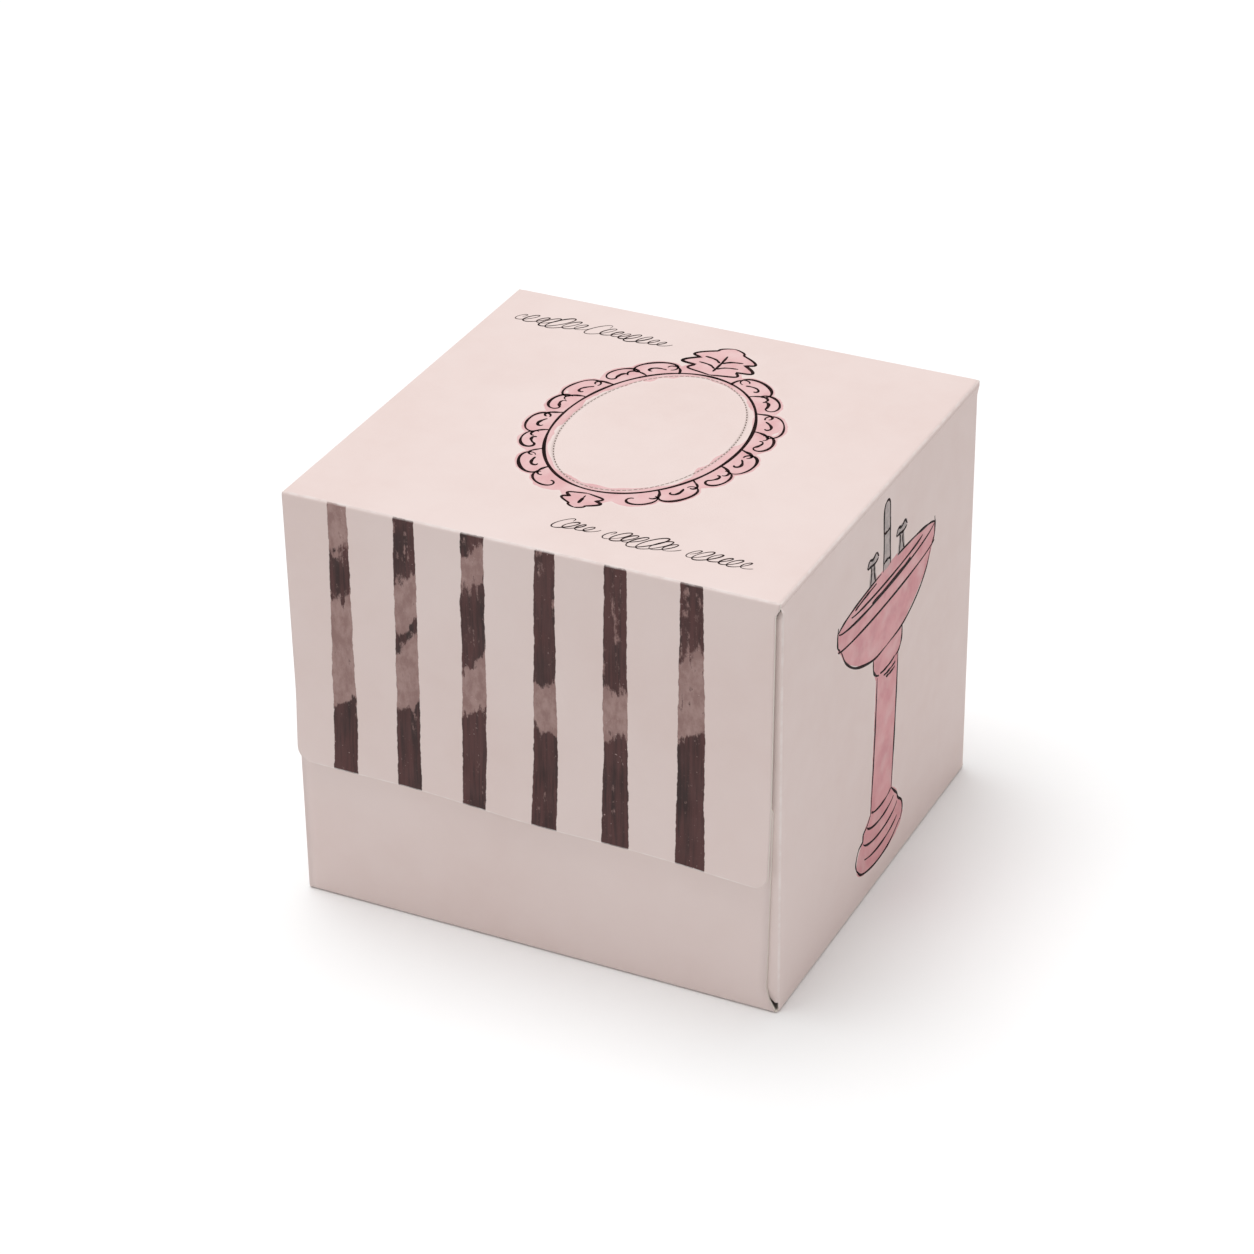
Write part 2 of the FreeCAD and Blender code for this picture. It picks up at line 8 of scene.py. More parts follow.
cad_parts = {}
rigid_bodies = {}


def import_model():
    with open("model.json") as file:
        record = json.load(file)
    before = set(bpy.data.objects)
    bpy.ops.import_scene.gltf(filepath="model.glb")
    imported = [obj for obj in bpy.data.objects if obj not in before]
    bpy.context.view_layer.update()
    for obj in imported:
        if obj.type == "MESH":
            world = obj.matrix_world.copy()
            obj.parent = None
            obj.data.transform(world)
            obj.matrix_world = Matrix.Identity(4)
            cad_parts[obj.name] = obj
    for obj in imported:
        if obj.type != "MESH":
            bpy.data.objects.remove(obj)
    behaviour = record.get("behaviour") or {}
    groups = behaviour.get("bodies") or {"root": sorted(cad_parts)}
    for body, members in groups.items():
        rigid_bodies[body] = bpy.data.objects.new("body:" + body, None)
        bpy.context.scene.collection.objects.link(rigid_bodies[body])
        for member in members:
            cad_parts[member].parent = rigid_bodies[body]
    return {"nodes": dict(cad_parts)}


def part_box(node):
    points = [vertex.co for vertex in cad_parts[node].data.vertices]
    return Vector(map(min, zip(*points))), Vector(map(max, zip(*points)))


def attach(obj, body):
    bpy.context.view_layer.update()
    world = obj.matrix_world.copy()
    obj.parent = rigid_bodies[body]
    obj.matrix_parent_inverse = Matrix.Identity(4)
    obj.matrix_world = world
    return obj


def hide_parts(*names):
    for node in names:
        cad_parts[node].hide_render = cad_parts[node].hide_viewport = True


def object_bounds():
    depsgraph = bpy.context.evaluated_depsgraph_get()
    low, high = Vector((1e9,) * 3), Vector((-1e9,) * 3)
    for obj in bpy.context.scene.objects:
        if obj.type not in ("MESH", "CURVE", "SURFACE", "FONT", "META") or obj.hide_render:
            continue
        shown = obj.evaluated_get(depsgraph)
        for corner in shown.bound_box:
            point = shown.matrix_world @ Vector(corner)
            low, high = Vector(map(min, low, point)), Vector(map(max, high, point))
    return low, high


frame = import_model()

cadLow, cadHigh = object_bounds()
mm = 0.001
print("frame loaded:", len(frame["nodes"]), "nodes")

# sizes shared by the board pieces
carton = {
    "halfWidth": cadHigh.x / mm,
    "halfDepth": cadHigh.y / mm,
    "height": cadHigh.z / mm,
    "board": 0.5,
    "lapStep": 0.6,        # one board and its glue, from flap to flap
    "foldRadius": 1.0,     # outside radius of a fold
    "foldTurn": math.pi / 4,
}
foldX = carton["halfWidth"] - carton["foldRadius"]
foldTop = carton["height"] - carton["foldRadius"]
outerFace = carton["halfDepth"]
innerFace = outerFace - carton["lapStep"]
dustFace = innerFace - carton["lapStep"]
foldArc = carton["foldRadius"] * carton["foldTurn"]


# meshes
# A mesh object from an (n, 3) array of points in mm and a list of face arrays.
def makePiece(name, points, faces, materials, smooth=None, slots=None):
    mesh = bpy.data.meshes.new(name)
    places = (np.reshape(points, (-1, 3)) * mm).tolist()
    mesh.from_pydata(places, [], [face for block in faces for face in block.tolist()])
    for material in materials:
        mesh.materials.append(material)
    count = len(mesh.polygons)
    mesh.polygons.foreach_set("use_smooth", np.ones(count, bool) if smooth is None else smooth)
    if slots is not None:
        mesh.polygons.foreach_set("material_index", slots)
    mesh.update()
    piece = bpy.data.objects.new(name, mesh)
    bpy.context.scene.collection.objects.link(piece)
    return piece


def addPointValues(piece, name, values):
    attribute = piece.data.attributes.new(name, "FLOAT", "POINT")
    attribute.data.foreach_set("value", np.asarray(values, np.float32).ravel())


# Arrays, stretched to one shape, as the last axis of one array.
def packed(*parts):
    return np.stack(np.broadcast_arrays(*parts), axis=-1)


# Length run along a line of points, from its start to each.
def runLength(x, y):
    return np.concatenate([[0], np.cumsum(np.hypot(np.diff(x), np.diff(y)))])


# Quads between neighbours in an array of point numbers.
def quadsOf(index):
    a, b = index[..., :-1, :-1], index[..., :-1, 1:]
    c, d = index[..., 1:, 1:], index[..., 1:, :-1]
    return packed(a, b, c, d).reshape(-1, 4)


# Point numbers of a grid, its first column or row repeated at the end where it wraps.
def gridNumbers(rows, columns, start=0, wrap=False, wrapRows=False):
    index = np.arange(rows * columns).reshape(rows, columns) + start
    return np.pad(index, ((0, int(wrapRows)), (0, int(wrap))), mode="wrap")


# Faces of a closed tube: the quads between its rings, and a cap at each end.
def tubeFaces(rings, columns, start=0):
    cap = np.arange(columns)[None] + start
    sides = quadsOf(gridNumbers(rings, columns, start, wrap=True))
    return [sides, cap, cap[:, ::-1] + (rings - 1) * columns]


# A closed board: outside grid, inside grid and the cut edges between them.
# The faces are turned round where the outside grid runs the other way, so that they look outwards.
def slabPiece(name, outer, inner, materials, wrap=False, values=None):
    rows, columns = outer.shape[:2]
    shift = rows * columns
    points = np.concatenate([outer.reshape(-1, 3), inner.reshape(-1, 3)])
    index = gridNumbers(rows, columns, wrap=wrap)
    front = quadsOf(index)
    edges = [(index[0], 1), (index[-1], -1)] + ([] if wrap else [(index[:, 0], -1), (index[:, -1], 1)])
    rims = [quadsOf(packed(edge, edge + shift))[:, ::turn] for edge, turn in edges]
    blocks = [front, front[:, ::-1] + shift, np.concatenate(rims)]
    middle = (rows // 2) * columns + columns // 2
    a, b, d = points[middle], points[middle + 1], points[middle - columns]
    if np.dot(np.cross(b - a, a - d), a - points[middle + shift]) < 0:
        blocks = [block[:, ::-1] for block in blocks]
    number = np.arange(sum(len(block) for block in blocks))
    smooth, slots = number < 2 * len(front), (number >= len(front)).astype(int)
    piece = makePiece(name, points, blocks, materials, smooth, slots)
    for key, value in (values or {}).items():
        addPointValues(piece, key, np.concatenate([value.ravel(), np.full(shift, value.min())]))
    return piece


# Arc length s along a panel to (place, drop, tilt): level between low and high, and past
# either limit an eighth of a circle, place = limit + r sin t, drop = r (1 - cos t).
def bend(s, low, high):
    radius = carton["foldRadius"]
    over = np.where(s > high, s - high, np.where(s < low, s - low, 0.0))
    turn = np.clip(over / radius, -carton["foldTurn"], carton["foldTurn"])
    place = np.clip(s, low, high) + radius * np.sin(turn)
    return place, radius * (1 - np.cos(turn)), turn


# One flat panel: where its plane is, which ways its two directions run, and its fold limits.
class Face:

    def __init__(self, normal, level, along, up, alongLimits, upLimits, swell=0.0):
        self.normal, self.along, self.up = (np.array(v, float) for v in (normal, along, up))
        self.level, self.alongLimits, self.upLimits, self.swell = level, alongLimits, upLimits, swell

    def limits(self, v):
        return self.alongLimits(v) if callable(self.alongLimits) else self.alongLimits

    # level * normal + bent u + bent v - both drops, raised by lift along the tilted normal.
    # The panel swells by a cosine hump between its folds.
    def points(self, u, v, lift=0.0):
        low, high = self.limits(v)
        placeU, dropU, tiltU = bend(u, low, high)
        placeV, dropV, tiltV = bend(v, *self.upLimits)
        humpU = np.cos(np.clip((u - (low + high) / 2) / (high - low), -0.5, 0.5) * np.pi)
        middle, span = sum(self.upLimits) / 2, self.upLimits[1] - self.upLimits[0]
        humpV = np.cos(np.clip((v - middle) / span, -0.5, 0.5) * np.pi)
        raised = self.level - dropU - dropV + self.swell * humpU * humpV
        tilted = (
            (np.cos(tiltU) * np.cos(tiltV))[..., None] * self.normal
            + np.sin(tiltU)[..., None] * self.along + np.sin(tiltV)[..., None] * self.up
        )
        tilted /= np.linalg.norm(tilted, axis=-1, keepdims=True)
        flat = raised[..., None] * self.normal + placeU[..., None] * self.along + placeV[..., None] * self.up
        return flat + tilted * np.asarray(lift, float)[..., None]

    # The board over a grid of places, printed with a look outside and raw inside, put in place of its node, which
    # is hidden.
    def slab(self, node, u, v, look, body="carton", wrap=False, lift=0.0, values=None):
        u, v = np.broadcast_arrays(u, v)
        # wear: paler on the folds, part rubbed wear and part painted highlight on the fold's ridge
        values = {"wear": self.wear(u, v), **(values or {})}
        outer, inner = self.points(u, v, lift), self.points(u, v, lift - carton["board"])
        piece = slabPiece(camelName(node), outer, inner, [looks[look], looks["raw"]], wrap, values)
        finish(piece, body, "printed_board", node)

    # How far round a fold each point is, 0 in the flat to 1 on the fold's ridge: the folds are painted paler by
    # it, part rubbed wear and part painted highlight.
    def wear(self, u, v):
        turn = np.maximum(np.abs(bend(u, *self.limits(v))[2]), np.abs(bend(v, *self.upLimits)[2]))
        return turn / carton["foldTurn"]


# Distances round a fold, in nine steps, without its start.
foldSteps = np.linspace(0, foldArc, 10)[1:]
unbent = (-200, 200)    # limits of a direction without folds


# Distances along a panel: even in the flat, with nine steps round each fold.
def steps(low, high, spacing, foldLow=True, foldHigh=True):
    flat = np.linspace(low, high, max(int(round((high - low) / spacing)), 1) + 1)
    return np.concatenate([low - foldSteps[::-1] if foldLow else [], flat, high + foldSteps if foldHigh else []])


# A node's name as its piece has it: top_panel, topPanel.
def camelName(node):
    first, *rest = node.split("_")
    return first + "".join(word.capitalize() for word in rest)


def finish(piece, body, slotName, *nodes):
    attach(piece, body)
    if nodes:
        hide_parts(*nodes)
    return piece


def smoothStep(x, low=0.0, high=1.0):
    t = np.clip((x - low) / (high - low), 0, 1)
    return t * t * (3 - 2 * t)


# Smooth values in -1..1: five sines of different slants and lengths, added.
def softNoise(x, y, scale, seed):
    draw = np.random.default_rng(seed)
    total = np.zeros(np.broadcast(x, y).shape)
    for _ in range(5):
        angle, phase, pitch = draw.uniform(0, np.pi), draw.uniform(0, 2 * np.pi), scale * draw.uniform(0.6, 1.7)
        total = total + np.sin((x * np.cos(angle) + y * np.sin(angle)) * 2 * np.pi / pitch + phase)
    return total / 3.2


# materials
# Short ways to add and join shader nodes.
class Nodes:

    def __init__(self, name):
        self.material = bpy.data.materials.new(name)
        self.material.use_nodes = True
        self.tree = self.material.node_tree
        self.shader = self.tree.nodes["Principled BSDF"]
        self.place = self.add("ShaderNodeTexCoord").outputs["Object"]

    def add(self, kind, **settings):
        node = self.tree.nodes.new(kind)
        for key, value in settings.items():
            setattr(node, key, value)
        return node

    def join(self, value, socket):
        if hasattr(value, "is_linked"):
            self.tree.links.new(value, socket)
        else:
            socket.default_value = value

    def noise(self, scale, detail=3.0, stretch=(1, 1, 1), roughness=0.55, seed=0.0):
        mapping = self.add("ShaderNodeMapping")
        self.join(self.place, mapping.inputs["Vector"])
        mapping.inputs["Scale"].default_value = stretch
        mapping.inputs["Location"].default_value = (seed, seed * 0.7, -seed * 0.4)
        noise = self.add("ShaderNodeTexNoise")
        self.join(mapping.outputs[0], noise.inputs["Vector"])
        noise.inputs["Scale"].default_value = scale
        noise.inputs["Detail"].default_value = detail
        noise.inputs["Roughness"].default_value = roughness
        return noise.outputs["Fac"]

    def math(self, operation, a, b=0.0):
        node = self.add("ShaderNodeMath", operation=operation)
        self.join(a, node.inputs[0])
        self.join(b, node.inputs[1])
        return node.outputs[0]

    def times(self, a, b):
        return self.math("MULTIPLY", a, b)

    def plus(self, a, b):
        return self.math("ADD", a, b)

    # A 0..1 value made to vary by half of size up and down.
    def about(self, value, size):
        return self.times(self.math("SUBTRACT", value, 0.5), size)

    def span(self, value, low, high, to=(0.0, 1.0)):
        node = self.add("ShaderNodeMapRange", interpolation_type="SMOOTHSTEP")
        self.join(value, node.inputs[0])
        for number, socket in zip((low, high, *to), (1, 2, 3, 4)):
            node.inputs[socket].default_value = number
        return node.outputs[0]

    def mix(self, share, a, b):
        node = self.add("ShaderNodeMix", data_type="RGBA")
        self.join(share, node.inputs[0])
        for value, socket in ((a, 6), (b, 7)):
            self.join((*value, 1.0) if isinstance(value, tuple) else value, node.inputs[socket])
        return node.outputs[2]

    def value(self, name):
        return self.add("ShaderNodeAttribute", attribute_name=name).outputs["Fac"]

    def bump(self, height, distance, strength=1.0, under=None):
        node = self.add("ShaderNodeBump")
        node.inputs["Strength"].default_value = strength
        node.inputs["Distance"].default_value = distance
        self.join(height, node.inputs["Height"])
        if under is not None:
            self.join(under, node.inputs["Normal"])
        return node.outputs["Normal"]

    def finish(self, colour, roughness, normal=None, specular=0.4, **sockets):
        self.join(colour, self.shader.inputs["Base Color"])
        self.join(roughness, self.shader.inputs["Roughness"])
        self.shader.inputs["Specular IOR Level"].default_value = specular
        for key, value in sockets.items():
            self.shader.inputs[key].default_value = value
        if normal is not None:
            self.join(normal, self.shader.inputs["Normal"])
        return self.material


boardLook = {
    "pink": (0.772, 0.652, 0.622),
    "pinkDeep": (0.742, 0.612, 0.580),
    "pinkPale": (0.800, 0.694, 0.668),
    "inkDark": (0.018, 0.003, 0.003),
    "inkDarkThin": (0.078, 0.024, 0.023),
    "inkLight": (0.372, 0.246, 0.226),
    "inkLightDeep": (0.270, 0.160, 0.146),
    "inkChip": (0.52, 0.38, 0.36),
    "washPink": (0.752, 0.478, 0.486),
    "washDeep": (0.680, 0.362, 0.378),
    "washGrey": (0.300, 0.262, 0.262),
    "washGreyPale": (0.42, 0.36, 0.35),
    # pale colour of folds and edges: part rubbed board, part painted highlight
    "rubbedAndHighlight": (0.900, 0.835, 0.812),
    "raw": (0.760, 0.715, 0.650),
    "rawPale": (0.800, 0.760, 0.700),
    "rawFibre": (0.560, 0.500, 0.430),
}


# The printed flat pink: broad clouds and small mottling.
def boardColour(n):
    clouds = n.span(n.noise(22.0), 0.30, 0.72)
    mottle = n.span(n.noise(210.0, 4.0, seed=2.0), 0.30, 0.72)
    colour = n.mix(clouds, boardLook["pinkDeep"], boardLook["pinkPale"])
    colour = n.mix(0.45, colour, boardLook["pink"])
    return n.mix(n.times(mottle, 0.22), colour, boardLook["pinkPale"])


# The board's surface: the fibres' fine grain over slow waves.
def boardNormal(n):
    fibres = n.noise(2600.0, 2.0, (1, 0.35, 1), seed=1.0)
    waves = n.noise(90.0, seed=5.0)
    return n.bump(waves, 0.00011, 0.55, under=n.bump(fibres, 0.000012, 0.5))


# A watercolour fill, its edge and shades from a signed distance, and the grey of the taps.
def washOver(n, colour, wash):
    ragged = n.about(n.noise(650.0, seed=4.0), wash["ragged"])
    edge = n.plus(n.value("washEdge"), ragged)
    halo = n.span(edge, -wash["halo"], -0.1)
    colour = n.mix(n.times(halo, wash["haloShare"]), colour, boardLook["pinkPale"])
    blotches = n.span(n.noise(170.0, 5.0, seed=7.0), 0.34, 0.70)
    fill = n.mix(blotches, wash["colour"], wash["deep"])
    rim = n.times(n.span(edge, 0.7, 0.05), n.span(edge, -0.05, 0.1))
    fill = n.mix(n.times(rim, 0.35), fill, wash["deep"])
    streak = n.span(n.noise(500.0, stretch=(1, 0.4, 0.4), seed=11.0), 0.40, 0.75)
    fill = n.mix(n.times(streak, 0.25), fill, boardLook["pinkPale"])
    colour = n.mix(n.times(n.span(edge, -0.12, 0.16), wash["cover"]), colour, fill)
    grey = n.span(n.plus(n.value("greyEdge"), ragged), -0.10, 0.12)
    shade = n.span(n.noise(900.0, seed=3.0), 0.4, 0.6)
    return n.mix(n.times(grey, 0.85), colour, n.mix(shade, boardLook["washGrey"], boardLook["washGreyPale"]))


# Dry-brush bars from a signed distance and a tone, both worn by the bristles and by patches.
def barsOver(n, colour, roughness):
    bristles = n.noise(1300.0, stretch=(1, 1, 0.05), seed=6.0)
    patches = n.noise(420.0, 5.0, (1, 1, 0.55), roughness=0.7, seed=12.0)
    broad = n.noise(120.0, 2.0, (1, 1, 0.5), seed=14.0)
    ragged = n.about(n.noise(1100.0, stretch=(1, 1, 0.45), seed=13.0), 0.7)
    mask = n.span(n.plus(n.value("stripeEdge"), ragged), -0.05, 0.09)
    worn = n.plus(n.about(bristles, 1.1), n.about(patches, 2.3))
    dark = n.span(n.plus(n.value("stripeTone"), worn), 0.38, 0.72)
    depth = n.span(n.plus(bristles, n.times(broad, 0.8)), 0.62, 1.12)
    inkDark = n.mix(depth, boardLook["inkDark"], boardLook["inkDarkThin"])
    inkLight = n.mix(n.span(patches, 0.36, 0.64), boardLook["inkLightDeep"], boardLook["inkLight"])
    specks = n.span(n.noise(1500.0, 2.0, seed=8.0), 0.69, 0.75)
    chips = n.times(specks, n.span(broad, 0.46, 0.62, (0.1, 0.7)))
    ink = n.mix(chips, n.mix(dark, inkLight, inkDark), boardLook["inkChip"])
    return n.mix(n.times(mask, 0.97), colour, ink), n.plus(roughness, n.times(n.times(mask, dark), 0.10))


# Pale pink board, with a watercolour wash or brush bars, painted paler on its folds and edges: part rubbed wear,
# part painted highlight.
def printedBoard(name, wash=None, stripes=False):
    n = Nodes(name)
    colour = boardColour(n)
    roughness = n.span(n.noise(160.0, seed=9.0), 0.3, 0.7, (0.50, 0.62))
    if wash:
        colour = washOver(n, colour, wash)
    if stripes:
        colour, roughness = barsOver(n, colour, roughness)
    # folds and edges painted paler in patches: part rubbed wear, part painted highlight
    patchyWearAndHighlight = n.span(n.noise(380.0, 4.0, seed=30.0), 0.36, 0.66, (0.25, 0.75))
    colour = n.mix(n.times(n.span(n.value("wear"), 0.35, 1.0), patchyWearAndHighlight), colour, boardLook["rubbedAndHighlight"])
    return n.finish(colour, roughness, boardNormal(n), 0.28)


# Unprinted board, inside faces and cut edges: warm grey-white with longer fibres and specks.
def rawBoard():
    n = Nodes("rawBoard")
    fibres = n.noise(900.0, 5.0, (1, 0.3, 1), seed=15.0)
    clouds = n.span(n.noise(60.0, seed=16.0), 0.3, 0.7)
    colour = n.mix(clouds, boardLook["raw"], boardLook["rawPale"])
    colour = n.mix(n.times(n.span(fibres, 0.62, 0.80), 0.4), colour, boardLook["rawFibre"])
    return n.finish(colour, n.span(fibres, 0.3, 0.7, (0.82, 0.92)), n.bump(fibres, 0.00003, 0.6), 0.25)


# Pen ink: near black, thinner and browner in patches.
def inkMaterial(name, colour, pale):
    n = Nodes(name)
    patches = n.span(n.noise(420.0, 4.0, seed=18.0), 0.42, 0.72)
    return n.finish(n.mix(patches, colour, pale), n.span(patches, 0, 1, (0.52, 0.66)),
                    n.bump(n.noise(2200.0, 2.0, seed=19.0), 0.00001, 0.4), 0.06)


# Dry hot melt: amber-white, cloudy, slightly glossy.
def glueMaterial():
    n = Nodes("dryGlue")
    clouds = n.noise(500.0, 4.0, seed=21.0)
    colour = n.mix(n.span(clouds, 0.35, 0.7), (0.70, 0.60, 0.42), (0.82, 0.76, 0.62))
    return n.finish(colour, n.span(clouds, 0.3, 0.7, (0.28, 0.45)), n.bump(clouds, 0.00008, 0.6), 0.5,
                    **{"Subsurface Weight": 0.15, "Subsurface Radius": (0.004, 0.003, 0.002)})


# Thin dispensing film: clear, milky in patches, with fine stretch lines.
def filmMaterial():
    n = Nodes("slitFilm")
    stretch = n.noise(700.0, 4.0, (1, 0.12, 1), seed=23.0)
    haze = n.span(n.noise(120.0, 3.0, seed=24.0), 0.3, 0.7)
    colour = n.mix(haze, (0.90, 0.91, 0.92), (0.97, 0.97, 0.98))
    return n.finish(colour, n.span(stretch, 0.3, 0.7, (0.12, 0.26)), n.bump(stretch, 0.00005, 0.5), 0.5,
                    **{"IOR": 1.45, "Alpha": 0.24})


# Soft white tissue: fine crepe across the sheet and loose fluff; layered adds painted shade, darker grey in the
# grooves between the stack's leaves.
def tissueMaterial(name, layered):
    n = Nodes(name)
    crepe = n.noise(1800.0, 3.0, (0.25, 1, 1), seed=25.0)
    fluff = n.noise(5200.0, 2.0, seed=26.0)
    clouds = n.span(n.noise(70.0, 3.0, seed=27.0), 0.3, 0.7)
    colour = n.mix(clouds, (0.89, 0.885, 0.88), (0.93, 0.928, 0.92))
    if layered:
        # painted shade: the grooves between leaves are darkened grey
        leaf = n.span(n.value("awayFromGrooveShade"), 0.15, 0.75)
        colour = n.mix(leaf, (0.73, 0.725, 0.72), colour)
    normal = n.bump(fluff, 0.00002, 0.5)
    return n.finish(colour, 0.92, n.bump(crepe, 0.00008, 0.6, under=normal), 0.15,
                    **{"Sheen Weight": 0.35, "Sheen Roughness": 0.6})


topWash = {"colour": boardLook["washPink"], "deep": boardLook["washDeep"], "ragged": 0.9,
           "halo": 1.1, "haloShare": 0.6, "cover": 0.86}
basinWash = {"colour": (0.700, 0.318, 0.340), "deep": (0.610, 0.235, 0.262), "ragged": 0.8,
             "halo": 1.1, "haloShare": 0.7, "cover": 0.92}
looks = {
    "plain": printedBoard("plainPrintedBoard"),
    "top": printedBoard("topPrintedBoard", wash=topWash),
    "side": printedBoard("sidePrintedBoard", wash=basinWash),
    "flap": printedBoard("flapPrintedBoard", stripes=True),
    "raw": rawBoard(),
    "ink": inkMaterial("penInk", (0.008, 0.002, 0.002), (0.030, 0.010, 0.010)),
    "script": inkMaterial("scriptInk", (0.022, 0.012, 0.012), (0.080, 0.048, 0.046)),
    "glue": glueMaterial(),
    "film": filmMaterial(),
    "tissue": tissueMaterial("softTissue", False),
    "bundle": tissueMaterial("stackedTissue", True),
}
print("materials made:", len(looks))


# the tube: top, right, bottom and left panels and the glue flap
flapFoldY = outerFace - carton["foldRadius"]
panelSizes = {
    "sideReach": dustFace - carton["foldRadius"],   # flat half depth of the side panels
    "topReach": flapFoldY,
    "bottomReach": innerFace - carton["foldRadius"],
    "flareStart": 97.6,                             # where a side panel widens to meet the top's fold
    "seamFoldZ": carton["lapStep"] + carton["foldRadius"],
    "bottomLeft": -carton["halfWidth"] + 0.4,
    "seamEnd": -foldX + 14.0,
    "seamMitre": 4.0,
    "swell": 0.10,
    "printGrid": 0.55,
    "plainGrid": 3.0,
}
flare = panelSizes["topReach"] - panelSizes["sideReach"]


def flareAt(v):
    return flare * smoothStep(v, panelSizes["flareStart"], foldTop)


def sideLimits(v):
    return -panelSizes["sideReach"] - flareAt(v), panelSizes["sideReach"] + flareAt(v)


topFace = Face((0, 0, 1), carton["height"], (1, 0, 0), (0, 1, 0), (-foldX, foldX),
               (-panelSizes["topReach"], panelSizes["topReach"]))
rightFace = Face((1, 0, 0), carton["halfWidth"], (0, 1, 0), (0, 0, 1), sideLimits,
                 (carton["foldRadius"], foldTop), panelSizes["swell"])
leftFace = Face((-1, 0, 0), carton["halfWidth"], (0, -1, 0), (0, 0, 1), sideLimits,
                (panelSizes["seamFoldZ"], foldTop), panelSizes["swell"])
bottomFace = Face((0, 0, -1), 0.0, (1, 0, 0), (0, -1, 0), (unbent[0], foldX),
                  (-panelSizes["bottomReach"], panelSizes["bottomReach"]))
seamFace = Face((0, 0, -1), -carton["lapStep"], (1, 0, 0), (0, -1, 0), (-foldX, unbent[1]), unbent)


# A side panel's grid: its columns move outwards near the top by the flare, most at the edges.
def sideGrid(spacing, lowZ):
    across = steps(-panelSizes["sideReach"], panelSizes["sideReach"], spacing)
    rise = np.unique(np.concatenate([
        steps(lowZ, foldTop, spacing), np.arange(panelSizes["flareStart"], foldTop, 0.3)]))
    u, v = np.meshgrid(across, rise)
    share = np.clip(np.abs(u) / panelSizes["sideReach"], 0, 1) ** 30
    return u + np.sign(u) * share * flareAt(v), v


# the oval mouth, its printed line and the band of ornament round it
mouth = {"x": 1.9, "y": 1.7, "halfWidth": 19.0, "halfLength": 28.35, "cut": 0.25}
oval = {"halfWidth": 21.2, "halfLength": 29.4, "samples": 2000}


def ovalPoint(turn):
    return oval["halfWidth"] * np.sin(turn), oval["halfLength"] * np.cos(turn)


# A place at angle turn on the ellipse that lies off outside the mouth's edge.
def mouthPoint(turn, off=0.0):
    return (mouth["x"] + (mouth["halfWidth"] + off) * np.cos(turn),
            mouth["y"] + (mouth["halfLength"] + off) * np.sin(turn))


ovalTurn = np.linspace(0, 2 * np.pi, oval["samples"] + 1)
ovalLength = runLength(*ovalPoint(ovalTurn))
ovalHalf = ovalLength[-1] / 2


# Band coordinates to the top panel: a point at arc length a round the oval line from its back end,
# pushed out by d along the line's normal.
def bandPlace(a, d):
    turn = np.interp(np.mod(a, ovalLength[-1]), ovalLength, ovalTurn)
    x, y = ovalPoint(turn)
    normalX, normalY = np.sin(turn) / oval["halfWidth"], np.cos(turn) / oval["halfLength"]
    size = np.hypot(normalX, normalY)
    return packed(mouth["x"] + x + d * normalX / size, mouth["y"] + y + d * normalY / size)


# Top panel to band coordinates, by six damped steps of moving the foot point along the oval.
def bandOf(x, y):
    x, y = x - mouth["x"], y - mouth["y"]
    turn = np.arctan2(x / oval["halfWidth"], y / oval["halfLength"])
    for _ in range(6):
        footX, footY = ovalPoint(turn)
        alongX, alongY = oval["halfWidth"] * np.cos(turn), -oval["halfLength"] * np.sin(turn)
        turn = turn + ((x - footX) * alongX + (y - footY) * alongY) / (alongX ** 2 + alongY ** 2) * 0.8
    footX, footY = ovalPoint(turn)
    side = np.sign((x / oval["halfWidth"]) ** 2 + (y / oval["halfLength"]) ** 2 - 1)
    return np.interp(np.mod(turn, 2 * np.pi), ovalTurn, ovalLength), side * np.hypot(x - footX, y - footY)


# Scroll strokes. Each row: where the stroke's middle lies along the band and out from the line, its
# heading there in degrees, its length, and the rate of turn at its start, middle and end, in degrees a
# stroke. The heading is the rate's running sum and the line the heading's, so that each end curls evenly.
scrollRows = [
    (10.6, 5.9, 8, 15.0, -980, -110, -720),
    (19.0, 5.6, -6, 13.0, -620, -150, -940),
    (27.6, 6.2, 10, 15.5, -1020, -90, -700),
    (36.4, 5.5, -8, 12.5, -640, -140, -900),
    (45.0, 6.0, 6, 14.5, -960, -110, -680),
    (53.6, 5.4, -4, 12.5, -600, -150, -960),
    (62.0, 5.9, 9, 14.0, -980, -100, -700),
    (70.4, 5.2, -8, 11.0, -600, -160, -860),
    (14.9, 2.8, 55, 6.0, -160, -90, -620),
    (23.2, 2.7, 62, 5.6, 120, -120, -560),
    (32.0, 2.9, 52, 6.2, -200, -80, -640),
    (40.7, 2.7, 60, 5.4, 140, -110, -520),
    (49.3, 2.8, 54, 5.8, -180, -90, -600),
    (57.8, 2.6, 62, 5.2, 120, -120, -560),
    (66.3, 2.6, 56, 5.2, -160, -90, -560),
    (6.6, 2.6, 70, 6.0, -120, -120, -500),
    (11.3, 3.3, 12, 5.2, -90, -140, -700),
    (18.6, 3.2, -14, 4.2, -640, -120, -60),
    (28.3, 3.5, 14, 5.4, -80, -130, -720),
    (36.0, 3.2, -16, 4.0, -620, -120, -60),
    (45.7, 3.4, 10, 5.0, -90, -140, -680),
    (53.2, 3.1, -12, 4.2, -640, -120, -60),
    (62.7, 3.3, 14, 4.8, -80, -130, -680),
]
scrollPoints = 56


def scrollLines(rows):
    along, out, heading, length, first, middle, last = np.array(rows, float).T[..., None]
    t = np.linspace(0, 1, scrollPoints)[None]
    rate = first * (1 - t) * (1 - 2 * t) + middle * 4 * t * (1 - t) + last * t * (2 * t - 1)
    turned = np.cumsum(rate, axis=1) / scrollPoints
    half = scrollPoints // 2
    turned = np.radians(heading + turned - turned[:, half:half + 1])
    a, d = (np.cumsum(part(turned), axis=1) * length / scrollPoints for part in (np.cos, np.sin))
    return packed(along + a - a[:, half:half + 1], out + d - d[:, half:half + 1])


